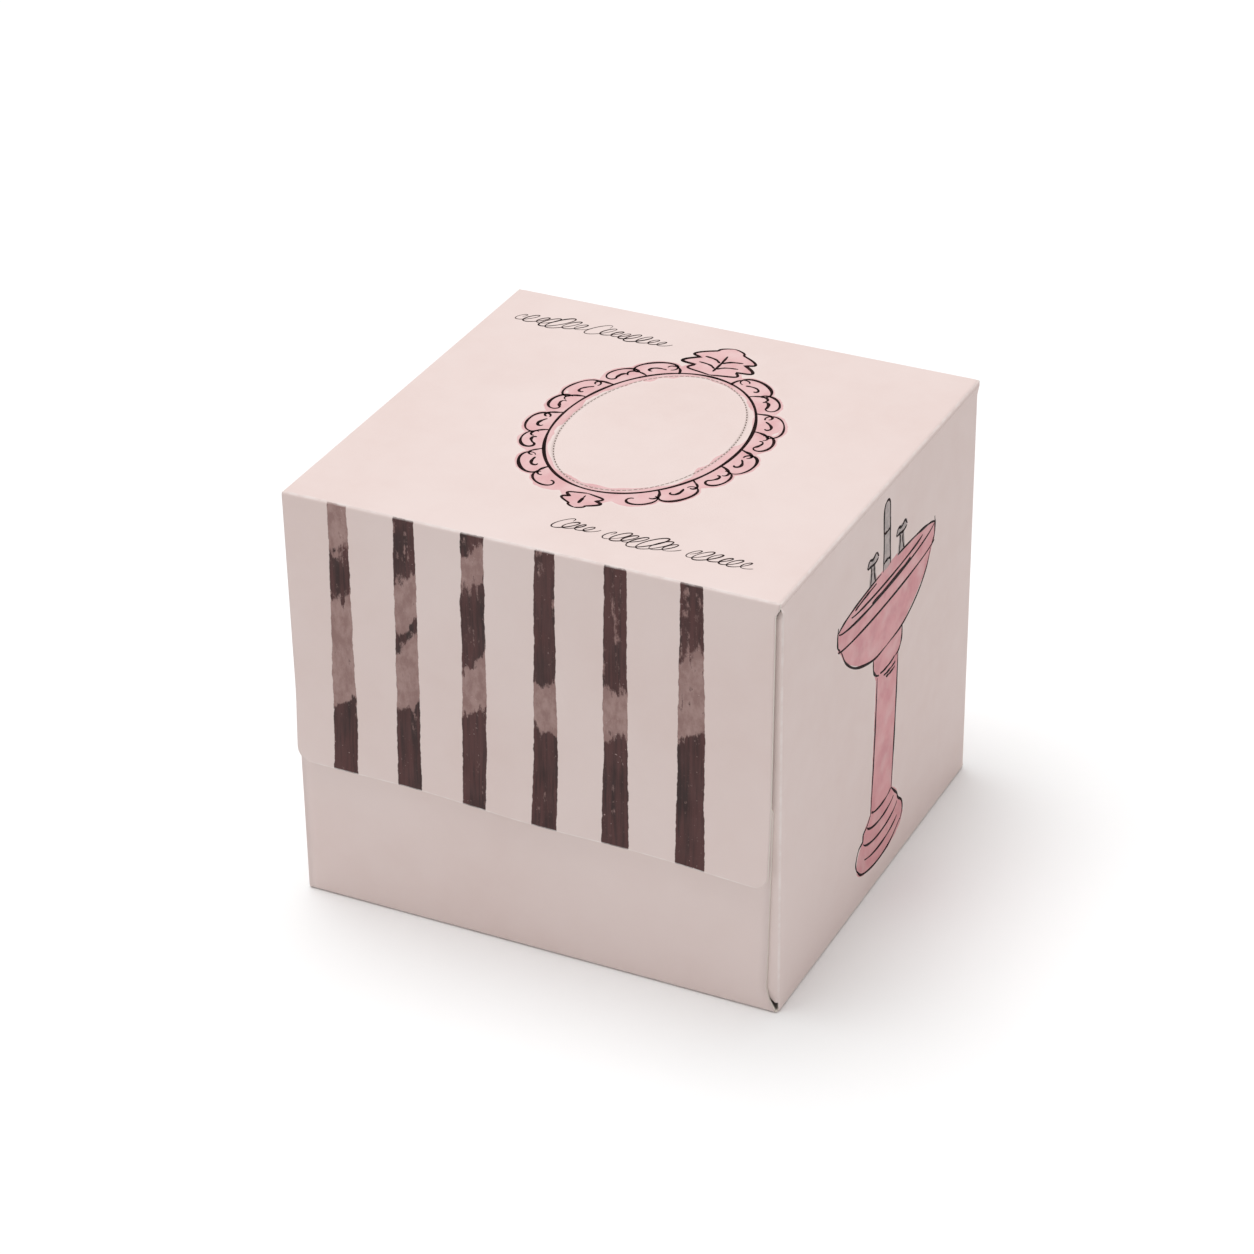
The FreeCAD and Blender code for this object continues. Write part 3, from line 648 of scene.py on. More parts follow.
# A smooth line through a few places: a Catmull-Rom curve, whole-array.
def smoothLine(places, points=scrollPoints):
    p = np.array(places, float)
    p = np.concatenate([2 * p[:1] - p[1:2], p, 2 * p[-1:] - p[-2:-1]])
    s = np.linspace(0, len(p) - 3 - 1e-9, points)
    i, t = s.astype(int), (s % 1.0)[:, None]
    a, b, c, d = p[i], p[i + 1], p[i + 2], p[i + 3]
    return 0.5 * (2 * b + (c - a) * t + (2 * a - 5 * b + 4 * c - d) * t ** 2 + (3 * b - a - 3 * c + d) * t ** 3)


# Half outline of a lobed leaf on the band's axis: half width = broad hump times a scallop.
def leafWidth(t, wide, lobes):
    hump = np.sin(np.pi * np.clip(t, 0, 1) ** 0.72) ** 0.75
    return wide * hump * (0.62 + 0.38 * np.abs(np.sin(np.pi * lobes * t)))


leaves = {
    "crown": {"at": 0.0, "from": 0.8, "tall": 14.0, "wide": 6.2, "lobes": 3.5},
    "base": {"at": ovalHalf, "from": 1.6, "tall": 6.6, "wide": 3.8, "lobes": 2.5},
}


def leafLine(leaf):
    t = 0.5 - 0.5 * np.cos(np.linspace(0, np.pi, scrollPoints))
    return packed(leaf["at"] + leafWidth(t, leaf["wide"], leaf["lobes"]), leaf["from"] + leaf["tall"] * t)


# Lines and their mirror images across the band's start.
def bothSides(lines):
    return np.concatenate([lines, lines * np.array([-1.0, 1.0])])


# Outer edge of the watercolour band, in lobes: d = mean + lobe |sin| of the length along the band.
band = {"mean": 3.3, "lobe": 2.7, "pitch": 8.6, "shift": 6.3}


def bandEdge(half):
    return band["mean"] + band["lobe"] * np.abs(np.sin(np.pi * (half - band["shift"]) / band["pitch"]))


crown, baseLeaf = leaves["crown"], leaves["base"]
scrolls = scrollLines(scrollRows)
halfLines = np.concatenate([scrolls, leafLine(crown)[None], leafLine(baseLeaf)[None]])
halfLines[-1, :, 0] = 2 * ovalHalf - halfLines[-1, :, 0]
sideVein, tipVein = [(0.2, 4.0), (1.4, 5.4), (3.4, 6.4)], [(0.2, 7.0), (1.2, 8.4), (2.9, 9.4)]
veins = np.concatenate([
    smoothLine([(0, 2.6), (0.1, 6), (0, 10.8)])[None],
    bothSides(smoothLine(sideVein)[None]), bothSides(smoothLine(tipVein)[None]),
    smoothLine([(ovalHalf, 2.6), (ovalHalf, 4.2), (ovalHalf, 6.2)])[None],
])
bandLines = np.concatenate([bothSides(halfLines), veins])
topLines = bandPlace(bandLines[..., 0], bandLines[..., 1])


# The top's print: signed distance to the watercolour, in mm, positive inside. It is the even band
# outside the oval line, a stroke's width round each scroll, both leaves, and loose smudges just inside
# the line. There is no grey on the top.
washShape = {"stroke": 0.78, "rim": 0.25, "far": 9.0, "chunks": 60}


def topPrint(x, y):
    a, d = bandOf(x, y)
    half = np.minimum(a, 2 * ovalHalf - a)
    outer = bandEdge(half) + washShape["rim"] + washShape["rim"] * softNoise(x, y, 7.0, 3)
    even = np.minimum(d + 0.15, outer - d)
    curls = bothSides(scrolls)
    inked = bandPlace(curls[..., 0], curls[..., 1]).reshape(-1, 2)
    near = np.full(x.shape, washShape["far"])
    close = (np.abs(d) < 18.0) & (d > -4.0)
    near[close] = np.concatenate([
        np.min(np.hypot(*(part[:, None] - inked[None]).transpose(2, 0, 1)), axis=1)
        for part in np.array_split(packed(x, y)[close], washShape["chunks"])])
    strokes = np.where(d > 0.3, washShape["stroke"] - near, -1.0)
    leafEdges = []
    for leaf, off in ((crown, np.where(a > ovalHalf, a - 2 * ovalHalf, a)), (baseLeaf, a - ovalHalf)):
        t = (d - leaf["from"]) / leaf["tall"]
        wide = leafWidth(t, leaf["wide"], leaf["lobes"])
        leafEdges.append(np.where((t > 0) & (t < 1), wide + 0.2 - np.abs(off), -1.0))
    loose = 1.6 + 1.3 * softNoise(x, y, 34.0, 8) + 0.6 * softNoise(x, y, 6.0, 12)
    smudge = np.where(d < 0.3, d + loose, -washShape["far"])
    total = np.maximum.reduce([even, strokes, *leafEdges, smudge])
    return {"washEdge": np.clip(total, -4, 4), "greyEdge": np.full(x.shape, -washShape["far"])}


# The top panel: rings from the mouth's edge to the sheet's edge, close together under the ornament,
# the last nine going round the folds. Point = ellipse (1 - w) + rectangle w.
topMesh = {"columns": 440, "rings": 58, "wideRings": 7, "denseShare": 0.78}


def makeTopPanel():
    turn = (np.arange(topMesh["columns"]) + 0.5) * 2 * np.pi / topMesh["columns"]
    cornerX, cornerY = np.array([foldX, -foldX, -foldX, foldX]), np.array([1, 1, -1, -1]) * flapFoldY
    cornerTurn = np.mod(np.arctan2((cornerY - mouth["y"]) / mouth["halfLength"],
                                   (cornerX - mouth["x"]) / mouth["halfWidth"]), 2 * np.pi)
    turn[np.argmin(np.abs(turn[:, None] - cornerTurn[None]), axis=0)] = cornerTurn
    rimX, rimY = mouthPoint(turn)
    rayX, rayY = rimX - mouth["x"], rimY - mouth["y"]
    reach = np.minimum((np.sign(rayX) * foldX - mouth["x"]) / rayX,
                       (np.sign(rayY) * flapFoldY - mouth["y"]) / rayY)
    edgeX, edgeY = mouth["x"] + rayX * reach, mouth["y"] + rayY * reach
    dense = np.linspace(0, topMesh["denseShare"], topMesh["rings"])
    w = np.concatenate([dense, np.linspace(topMesh["denseShare"], 1, topMesh["wideRings"] + 1)[1:]])[:, None]
    arc = foldSteps[:, None]
    x = np.concatenate([rimX * (1 - w) + edgeX * w, edgeX * (foldX + arc) / foldX])
    y = np.concatenate([rimY * (1 - w) + edgeY * w, edgeY * (flapFoldY + arc) / flapFoldY])
    topFace.slab("top_panel", x, y, "top", wrap=True, values=topPrint(x, y))


# The tear-out oval: a square grid pressed into a disc, x = a u sqrt(1 - v^2/2), y = b v sqrt(1 - u^2/2).
def makeTearOut():
    u, v = np.meshgrid(np.linspace(-1, 1, 72), np.linspace(-1, 1, 96))
    x = mouth["x"] + (mouth["halfWidth"] - mouth["cut"]) * u * np.sqrt(1 - v ** 2 / 2)
    y = mouth["y"] + (mouth["halfLength"] - mouth["cut"]) * v * np.sqrt(1 - u ** 2 / 2)
    topFace.slab("tear_out_oval", x, y, "top", "tear_out", values=topPrint(x, y))


# The uncut ties: a small block every pitch along the cut, set across it.
ties = {"count": 124, "width": 0.40, "reach": 0.24, "top": 0.03, "deep": 0.45}


def makeTies():
    turn = np.linspace(0, 2 * np.pi, 4000)
    run = runLength(*mouthPoint(turn, -mouth["cut"] / 2))
    at = np.interp(np.arange(ties["count"]) * run[-1] / ties["count"], run, turn)
    centre = packed(*mouthPoint(at, -mouth["cut"] / 2))
    out = packed(np.cos(at) / mouth["halfWidth"], np.sin(at) / mouth["halfLength"])
    out /= np.linalg.norm(out, axis=-1, keepdims=True)
    side = out[:, ::-1] * np.array([-1, 1])
    corner = np.array([(-1, -1), (1, -1), (1, 1), (-1, 1)])
    flat = (centre[:, None] + out[:, None] * corner[None, :, :1] * ties["reach"] / 2
            + side[:, None] * corner[None, :, 1:] * ties["width"] / 2)
    high = carton["height"] - ties["top"]
    points = np.concatenate([packed(flat[..., 0], flat[..., 1], z) for z in (high - ties["deep"], high)], 1)
    block = np.array([(3, 2, 1, 0), (4, 5, 6, 7), (0, 1, 5, 4), (1, 2, 6, 5), (2, 3, 7, 6), (3, 0, 4, 7)])
    faces = (block[None] + np.arange(ties["count"])[:, None, None] * 8).reshape(-1, 4)
    piece = makePiece("perforationTies", points, [faces], [looks["plain"]], np.zeros(len(faces), bool))
    finish(piece, "tear_out", "printed_board", "perforation_ties")


# the basin drawn on the right side panel, in mm from the front edge and from the top
basin = {
    "depths": [20.0, 21.4, 23.0, 27.4, 28.6, 31.0, 34.0, 36.8, 38.8, 39.9, 40.3, 44.2, 46.2, 60.0, 79.6,
               82.0, 85.0, 87.0, 90.0, 92.6, 94.0, 94.8],
    "halfWidths": [6.0, 20.5, 27.0, 27.0, 25.6, 24.0, 20.4, 15.6, 10.8, 8.2, 8.0, 7.3, 6.0, 6.0, 6.2,
                   9.2, 10.4, 12.6, 13.4, 12.2, 9.0, 5.0],
    "top": 20.0, "foot": 94.9, "middle": 57.0, "spout": 56.0, "taps": (48.4, 64.4),
    "columnTop": 40.0, "columnShift": 1.0,
    "lean": -0.035,      # the column leans forward by this much for each mm down
}


# The side's print: signed distances to the basin's watercolour and to the grey of its spout and taps.
def sidePrint(u, v):
    front, depth = u + carton["halfDepth"], carton["height"] - v
    down = np.clip(depth - basin["columnTop"], 0, 45)
    shift = np.where(depth < basin["columnTop"], 0.0, basin["columnShift"] + basin["lean"] * down)

    # depth inside a band of half width half round a middle, between two depths
    def inside(half, middle, low, high):
        return np.minimum(half - np.abs(front - middle), np.minimum(depth - low, high - depth))

    half = np.interp(depth, basin["depths"], basin["halfWidths"])
    pink = inside(half + 0.15, basin["middle"] + shift, basin["top"], basin["foot"]) * 0.85
    grey = [inside(1.55 + 0.02 * depth, basin["spout"], 4.2, 20.6)]
    for tap in basin["taps"]:
        grey += [inside(1.0 + 0.22 * np.clip(depth - 15.0, 0, 6), tap, 14.6, 20.9), inside(2.9, tap, 13.9, 15.9)]
    return {"washEdge": np.clip(pink, -4, 4), "greyEdge": np.clip(np.maximum.reduce(grey), -4, 4)}


def makeSidePanels():
    u, v = sideGrid(panelSizes["printGrid"], carton["foldRadius"])
    rightFace.slab("right_side_panel", u, v, "side", values=sidePrint(u, v))
    leftFace.slab("left_side_panel", *sideGrid(panelSizes["plainGrid"], panelSizes["seamFoldZ"]), "plain")


def makeBottom():
    across = steps(panelSizes["bottomLeft"], foldX, panelSizes["plainGrid"], foldLow=False)
    reach = panelSizes["bottomReach"]
    bottomFace.slab("bottom_panel", *np.meshgrid(across, steps(-reach, reach, panelSizes["plainGrid"])), "plain")
    across = steps(-foldX, panelSizes["seamEnd"], 1.0, foldHigh=False)
    half = panelSizes["sideReach"] - panelSizes["seamMitre"] * smoothStep(across, -foldX + 0.2, -foldX + 5.0)
    seamFace.slab("seam_glue_flap", across, np.linspace(-1, 1, 60)[:, None] * half, "plain")


makeTopPanel()
makeTearOut()
makeTies()
makeSidePanels()
makeBottom()
print("tube and tear-out made")


# the flaps of both ends
flap = {
    "outerLeft": -57.3, "outerRight": 56.25, "outerLean": 0.85, "outerCorner": 3.2,
    "outerLeftLean": 0.55, "cornerReach": 0.95, "cornerDrop": 2.6,
    "outerTipLeft": 35.2, "outerTipRight": 32.0,
    "curl": 0.95, "curlRun": 20.0, "curlPitch": 54.0, "tipLift": 0.12,
    "innerLeft": -56.9, "innerRight": 54.6, "innerFlare": 1.3, "innerReach": 2.0, "innerDrop": 3.6,
    "innerTop": 52.0, "innerCorner": 2.0,
    "dustLow": 2.5, "dustReach": 42.0, "dustTaper": math.radians(40.0), "dustCorner": 5.0,
    "printGrid": 0.55, "plainGrid": 2.5, "cornerSteps": 10,
}

# Dry-brush bars: each has its left and right edge at the top and at the free edge, and its tone (1
# dark, 0 washed out) at depths below the top; the last number slants the changes of tone.
bars = [
    {"top": (11.2, 15.8), "foot": (9.7, 15.7), "slant": 0.3,
     "tone": [(0, 0.0), (10.2, 0.05), (11.2, 0.95), (22.6, 0.9), (23.6, 0.05), (35.4, 0.1), (36.4, 0.4),
              (37.4, 0.05), (48.4, 0.0), (49.4, 1.0)]},
    {"top": (26.8, 31.8), "foot": (25.2, 31.0), "slant": 0.9,
     "tone": [(0, 0.95), (13.6, 0.9), (16.6, 0.1), (25.4, 0.1), (26.6, 0.95), (29.4, 0.9), (30.8, 0.15),
              (44.8, 0.05), (46.4, 1.0)]},
    {"top": (42.7, 48.0), "foot": (41.0, 47.0), "slant": 0.8,
     "tone": [(0, 0.9), (4.0, 0.85), (5.6, 0.12), (10.6, 0.15), (12.4, 0.8), (30.6, 0.85), (32.4, 0.1),
              (42.6, 0.0), (43.6, 1.0)]},
    {"top": (59.7, 64.3), "foot": (58.0, 64.0), "slant": 0.2,
     "tone": [(0, 0.8), (3.0, 0.9), (32.6, 0.9), (33.6, 0.0), (43.0, 0.0), (44.0, 1.0)]},
    {"top": (75.7, 80.7), "foot": (74.3, 80.5), "slant": 0.3,
     "tone": [(0, 0.85), (24.0, 0.85), (30.0, 0.8), (31.0, 0.0), (40.0, 0.0), (41.0, 1.0)]},
    {"top": (92.8, 98.0), "foot": (91.5, 98.3), "slant": 0.7,
     "tone": [(0, 0.85), (16.8, 0.8), (18.8, 0.1), (25.0, 0.3), (28.0, 0.05), (35.6, 0.0), (36.6, 1.0)]},
]


barPlace = {"foot": 67.0, "start": 0.15, "wobble": 0.16, "blur": (-1.6, -0.8, 0, 0.8, 1.6)}


# Signed distance to the bars, mm, positive inside, with a slow hand wobble, and each bar's tone.
def barFields(left, depth):
    edge, tone = np.full(left.shape, -4.0), np.zeros(left.shape)
    for number, bar in enumerate(bars):
        low, high = (
            bar["top"][i] + (bar["foot"][i] - bar["top"][i]) * (depth / barPlace["foot"])
            + barPlace["wobble"] * softNoise(0 * depth, depth, pitch, number + seed)
            for i, pitch, seed in ((0, 17.0, 0), (1, 15.0, 9)))
        inside = np.minimum(np.minimum(left - low, high - left), depth - barPlace["start"])
        slanted = depth + bar["slant"] * (left - (low + high) / 2)
        slanted = slanted + 0.8 * softNoise(left, depth, 4.0, number + 20)
        places, values = np.array(bar["tone"]).T
        blurred = np.mean([np.interp(slanted + shift, places, values) for shift in barPlace["blur"]], axis=0)
        tone = np.where(inside > -1.5, blurred, tone)
        edge = np.maximum(edge, inside)
    return {"stripeEdge": np.clip(edge, -4, 4), "stripeTone": tone}


# Distances from a flap's fold to its free edge: round the fold, down the flat, then closer together
# through the rounded corners. Also how far the corners draw the side edges in at each.
def flapRun(reach, corner, spacing):
    around = np.linspace(0, np.pi / 2, flap["cornerSteps"] + 1)[1:]
    even = np.linspace(0, reach - corner, int(round((reach - corner) / spacing)) + 1)
    run = np.concatenate([-foldSteps[::-1], even, reach - corner + corner * np.sin(around)])
    drawn = np.concatenate([np.zeros(len(foldSteps) + len(even)), corner * (1 - np.cos(around))])
    return run, drawn[:, None]


# Which way an end looks along y, and a panel of it at a distance from the middle.
def endFace(end, level, alongLimits=unbent, upLimits=unbent):
    sign = -1 if end == "front" else 1
    return sign, Face((0, sign, 0), level, (-sign, 0, 0), (0, 0, 1), alongLimits, upLimits)


def makeOuterFlap(end):
    sign, face = endFace(end, outerFace, upLimits=(unbent[0], foldTop))
    front = end == "front"
    spacing = flap["printGrid"] if front else flap["plainGrid"]
    longest, widest = foldTop - flap["outerTipRight"], flap["outerRight"] - flap["outerLeft"]
    run, drawn = flapRun(longest, flap["outerCorner"], spacing)
    share, run = np.meshgrid(np.linspace(0, 1, int(round(widest / spacing)) + 1), run)
    down = np.clip(run, 0, None)
    low = flap["outerLeft"] + flap["outerLeftLean"] * down / longest + drawn
    high = flap["outerRight"] - flap["outerLean"] * down / longest - drawn
    high = high + flap["cornerReach"] * (1 - smoothStep(run, 0.2, flap["cornerDrop"]))
    x = low + share * (high - low)
    shorter = (flap["outerTipLeft"] - flap["outerTipRight"]) * (flap["outerRight"] - x) / widest / longest
    z = foldTop - np.where(run > 0, run * (1 - shorter), run)
    # the free edge stands off a little between its two glue beads
    curl = flap["curl"] * smoothStep(run, longest - flap["curlRun"], longest) * (
        0.55 + 0.45 * np.cos(x * 2 * np.pi / flap["curlPitch"]))
    curl = curl + flap["tipLift"] * smoothStep(run, longest - 3.0, longest)
    values = barFields(x + carton["halfWidth"], carton["height"] - z) if front else {}
    # the free edge's pale line: part rubbed wear, part painted highlight
    rubbedAndHighlight = 1.3 * smoothStep(run, longest - 0.45, longest - 0.05)
    values["wear"] = np.maximum(face.wear(-sign * x, z), rubbedAndHighlight)
    node = end + "_outer_flap"
    face.slab(node, -sign * x, z, "flap" if front else "plain", node, lift=curl, values=values)


def makeInnerFlap(end):
    sign, face = endFace(end, innerFace, upLimits=(carton["foldRadius"], unbent[1]))
    reach = flap["innerTop"] - carton["foldRadius"]
    run, drawn = flapRun(reach, flap["innerCorner"], flap["plainGrid"])
    share, run = np.meshgrid(np.linspace(0, 1, 46), run)
    low = flap["innerLeft"] + drawn
    high = flap["innerRight"] + flap["innerFlare"] * np.clip(run, 0, None) / reach - drawn
    high = high + flap["innerReach"] * (1 - smoothStep(run, 0.6, flap["innerDrop"]))
    x = low + share * (high - low)
    node = end + "_inner_flap"
    face.slab(node, -sign * x, carton["foldRadius"] + run, "plain", node)


# A dust flap narrows by two slanting edges, joined to the free edge by arcs tangent to both.
def makeDustFlap(end, hand):
    sign, face = endFace(end, dustFace, (-foldX, foldX))
    reach, corner, taper = flap["dustReach"], flap["dustCorner"], flap["dustTaper"]
    arcStart = reach - corner + corner * math.sin(taper)
    run = np.concatenate([-foldSteps[::-1], np.linspace(0, arcStart, 20), np.linspace(arcStart, reach, 9)[1:]])
    centre = math.tan(taper) * (reach - corner) + corner / math.cos(taper)
    sunk = np.clip(corner ** 2 - np.clip(run - reach + corner, 0, corner) ** 2, 0, None) ** 0.5
    inset = np.where(run < arcStart, math.tan(taper) * np.clip(run, 0, None), centre - sunk)[:, None]
    share, run = np.meshgrid(np.linspace(0, 1, 40), run)
    low, high = flap["dustLow"] + inset, carton["height"] - flap["dustLow"] - inset
    x = (1 if hand == "right" else -1) * (foldX - run)
    node = end + "_" + hand + "_dust_flap"
    face.slab(node, -sign * x, low + share * (high - low), "plain", node)


# The rounded section of a dry glue line, -1 to 1 across and high, with fuller shoulders than a circle.
def domeSection(count=16):
    turn = np.linspace(0, 2 * np.pi, count, endpoint=False)[None]
    return np.cos(turn), np.sign(np.sin(turn)) * np.abs(np.sin(turn)) ** 0.6


# A dry glue bead between two boards: a low dome, its edge wandering like a squeezed bead's.
# Half width = width (1 + slow sines), both it and the height drawn in at the round ends.
def gluePiece(node, body, beads, seed):
    rings = 26
    across, level = domeSection()
    columns = across.size
    blocks, faces = [], []
    for number, (middle, halfAlong, halfWide, low, high, tall) in enumerate(beads):
        s = np.linspace(-1, 1, rings)[:, None]
        ends = 1 - np.abs(s) ** 7
        wide = halfWide * np.sqrt(np.clip(ends, 0.0016, 1))
        wide = wide * (0.93 + 0.07 * softNoise(s * halfAlong, 0 * s, 7.0, seed + number)) * across
        along = s * halfAlong
        x, z = (wide, along) if tall else (along, wide)
        y = (low + high) / 2 + (high - low) / 2 * level * np.sqrt(np.clip(ends, 0.01, 1))
        points = packed(middle[0] + x, y, middle[1] + z)
        centre = points[rings // 2]
        ahead, out = points[1, 0] - points[0, 0], centre[0] - centre.mean(axis=0)
        facing = np.dot(np.cross(centre[1] - centre[0], ahead), out)
        faces += [b if facing > 0 else b[:, ::-1] for b in tubeFaces(rings, columns, number * rings * columns)]
        blocks.append(points.reshape(-1, 3))
    piece = makePiece(camelName(node), np.concatenate(blocks), faces, [looks["glue"]])
    finish(piece, body, "dry_glue", node)


beadSizes = {"width": 3.0, "lapSpread": 27.0, "lapHalf": 17.0, "lapZ": 46.0, "dustX": 42.0,
             "dustHalf": 8.0, "upperZ": 68.0, "lowerZ": 30.0}


def makeEndGlue(end):
    sign, half = -1 if end == "front" else 1, beadSizes["width"] / 2

    # one bead: its middle, half length, half width, the two y between which it lies, and whether upright
    def bead(x, z, halfAlong, near, far, tall):
        return (x, z), halfAlong, half, *sorted((sign * near, sign * far)), tall

    outerInside, innerInside = outerFace - carton["board"], innerFace - carton["board"]
    lap = [
        bead(side * beadSizes["lapSpread"], beadSizes["lapZ"], beadSizes["lapHalf"], innerFace, outerInside, False)
        for side in (-1, 1)]
    gluePiece(end + "_lap_glue", end + "_inner_flap", lap, 40)
    for hand, side in (("right", 1), ("left", -1)):
        beads = [bead(side * beadSizes["dustX"], beadSizes[z], beadSizes["dustHalf"], dustFace, far, True)
                 for z, far in (("upperZ", outerInside), ("lowerZ", innerInside))]
        dust = end + "_" + hand + "_dust_"
        gluePiece(dust + "glue", dust + "flap", beads, 50)


for end in ("front", "back"):
    makeOuterFlap(end)
    makeInnerFlap(end)
    makeEndGlue(end)
    for hand in ("right", "left"):
        makeDustFlap(end, hand)
print("flaps and glue made")


# printed pen lines: thin closed ribbons lying on a panel, swelling and thinning like a nib's
pen = {"bold": 0.86, "oval": 0.84, "basin": 0.82, "script": 0.46, "lifts": (-0.03, 0.028, 0.028, -0.03),
       "shares": (1, 0.9, -0.9, -1), "ovalWander": 0.16}


def inkLines(name, face, lines, width, look, seed, sharpEnds=True):
    count, points = lines.shape[:2]
    along = np.gradient(lines, axis=1)
    along /= np.linalg.norm(along, axis=-1, keepdims=True) + 1e-12
    side = packed(-along[..., 1], along[..., 0])
    t = np.linspace(0, 1, points)[None]
    press = 0.82 + 0.30 * softNoise(t * points * 0.35, np.arange(count)[:, None] * 37.0, 9.0, seed)
    if sharpEnds:
        press = press * (0.35 + 0.65 * np.clip(np.sin(np.pi * t), 0, 1) ** 0.45)
    half = (width / 2 * np.clip(press, 0.25, 1.5))[..., None]
    ring = np.stack([lines + side * half * share for share in pen["shares"]], axis=2)
    places = face.points(ring[..., 0], ring[..., 1], np.broadcast_to(pen["lifts"], ring.shape[:3]))
    index = gridNumbers(count * points, 4, wrap=True).reshape(count, points, 5)
    piece = makePiece(name, places, [quadsOf(index), index[:, 0, 3::-1], index[:, -1, :4]], [looks[look]])
    finish(piece, "carton", "printed_board")


def makeTopPrint():
    inkLines("ornamentLines", topFace, topLines, pen["bold"], "ink", 61)
    a = np.linspace(0, ovalLength[-1], 321)
    wander = pen["ovalWander"] * softNoise(a, 0 * a, 55.0, 62) * np.sin(np.pi * a / a[-1])
    ring = bandPlace(np.clip(a, 0, a[-1] - 1e-6), wander)[None]
    inkLines("ovalLine", topFace, ring, pen["oval"], "ink", 63, sharpEnds=False)


# Looped pen flourishes: x = length t + slant y + loop cos, y = height sin, the height following a few
# broad swells, so that the loops grow and shrink along the line.
flourishes = [
    {"x": -50.5, "y": 41.4, "length": 16.5, "loops": 7.0, "high": [1.2, 2.2, 1.5, 3.6, 2.2, 1.3], "rise": 0.4},
    {"x": -31.6, "y": 42.2, "length": 19.0, "loops": 8.0, "high": [3.4, 1.8, 1.3, 2.4, 1.4, 1.0], "rise": -0.6},
    {"x": 1.8, "y": -43.2, "length": 8.5, "loops": 4.0, "high": [3.0, 1.7, 1.3, 1.1], "rise": 0.0},
    {"x": 13.0, "y": -43.4, "length": 16.0, "loops": 7.0, "high": [1.2, 2.4, 1.5, 3.6, 2.2, 1.3], "rise": 0.0},
    {"x": 32.0, "y": -43.4, "length": 14.5, "loops": 6.0, "high": [1.3, 2.4, 1.4, 1.8, 1.1], "rise": -0.4},
]


def flourishLine(f, number):
    t = np.linspace(0, 1, 240)
    turn = 2 * np.pi * f["loops"] * t + 0.7 * np.sin(2 * np.pi * 2 * t + number)
    high = np.interp(t, np.linspace(0, 1, len(f["high"])), f["high"])
    y = high * np.sin(turn) + f["rise"] * t
    x = f["length"] * t + 0.75 * y + (0.45 + 0.42 * high) * np.cos(turn)
    return packed(f["x"] + x, f["y"] + y)


makeTopPrint()
script = np.stack([flourishLine(f, number) for number, f in enumerate(flourishes)])
inkLines("flourishLines", topFace, script, pen["script"], "script", 64)
print("top print made")


# The basin's pen lines, in mm from the front and from the top. A row in round brackets is an arc:
# middle, depth, half width, half height, first and last angle. Any other is a smooth line's places.
basinRows = [
    (57.0, 23.4, 27.2, 3.0, 188, 262), (57.0, 23.4, 27.2, 3.0, 282, 352),
    (57.0, 22.9, 27.0, 2.9, 8, 172), (57.0, 27.3, 27.2, 2.1, 6, 174),
    [(30.0, 21.6), (29.6, 23.8), (29.8, 26.2), (31.0, 27.6)],
    [(84.0, 21.6), (84.3, 23.8), (84.0, 26.4), (82.6, 27.8)],
    (57.0, 22.6, 20.0, 1.3, 5, 175), (57.0, 22.3, 18.6, 0.9, 195, 250), (57.0, 24.4, 15.0, 0.9, 30, 125),
    [(31.8, 28.4), (34.6, 32.6), (40.4, 36.8), (49.8, 39.9), (57.4, 40.2)],
    [(82.0, 28.6), (79.6, 32.6), (74.4, 36.6), (66.2, 39.6), (57.0, 40.2)],
    [(49.8, 40.0), (50.1, 43.0), (51.6, 44.8), (53.2, 45.6)],
    [(66.2, 39.8), (66.0, 43.0), (64.6, 45.0), (62.6, 45.6)],
    (58.0, 45.2, 4.2, 0.7, 10, 165), (59.4, 46.9, 3.4, 0.5, 20, 170), (60.0, 48.0, 2.6, 0.4, 20, 170),
    [(52.3, 45.8), (52.0, 56.0), (51.4, 68.0), (50.5, 80.0)],
    [(64.1, 45.6), (63.8, 56.0), (63.2, 68.0), (62.4, 79.6)],
    [(50.5, 80.0), (48.6, 81.8), (46.6, 82.8), (46.2, 84.6), (44.0, 85.4), (42.6, 88.2), (43.2, 90.6)],
    [(62.4, 79.6), (64.2, 81.4), (66.0, 83.2), (66.8, 84.8), (69.0, 86.8), (69.6, 89.4), (68.4, 91.6)],
    [(43.0, 90.2), (46.4, 93.2), (54.0, 94.8), (62.0, 94.2), (68.6, 91.2)],
    (56.6, 79.2, 5.6, 1.6, 12, 168), (56.5, 81.6, 8.0, 2.8, 20, 168),
    (56.4, 84.6, 10.0, 3.4, 12, 166), (56.2, 87.6, 11.2, 3.8, 25, 140),
    [(54.3, 20.6), (54.5, 15.0), (54.2, 9.0), (54.4, 5.2), (56.0, 4.0), (57.4, 5.0), (57.7, 9.0)],
    [(58.4, 20.4), (57.9, 15.0), (57.8, 11.0), (57.7, 8.6)],
    (56.0, 11.2, 1.7, 0.4, 10, 170), (56.3, 19.2, 1.9, 0.7, 190, 350),
]
# one tap's lines, each place in mm from the tap's middle and from the top
tapRows = [
    [(-1.2, 20.6), (-0.7, 17.6), (-0.9, 16.0)],
    [(1.6, 20.6), (0.8, 18.0), (0.8, 16.0)],
    [(-3.1, 15.4), (-1.8, 14.0), (0, 14.5), (1.9, 13.8), (3.2, 15.2)],
    [(-2.9, 15.6), (-1.2, 15.7), (1.2, 16.0), (3.0, 15.5)],
]


def arcLine(middle, depth, halfWide, halfTall, start, stop):
    turn = np.radians(np.linspace(start, stop, scrollPoints))
    return packed(middle + halfWide * np.cos(turn), depth + halfTall * np.sin(turn))


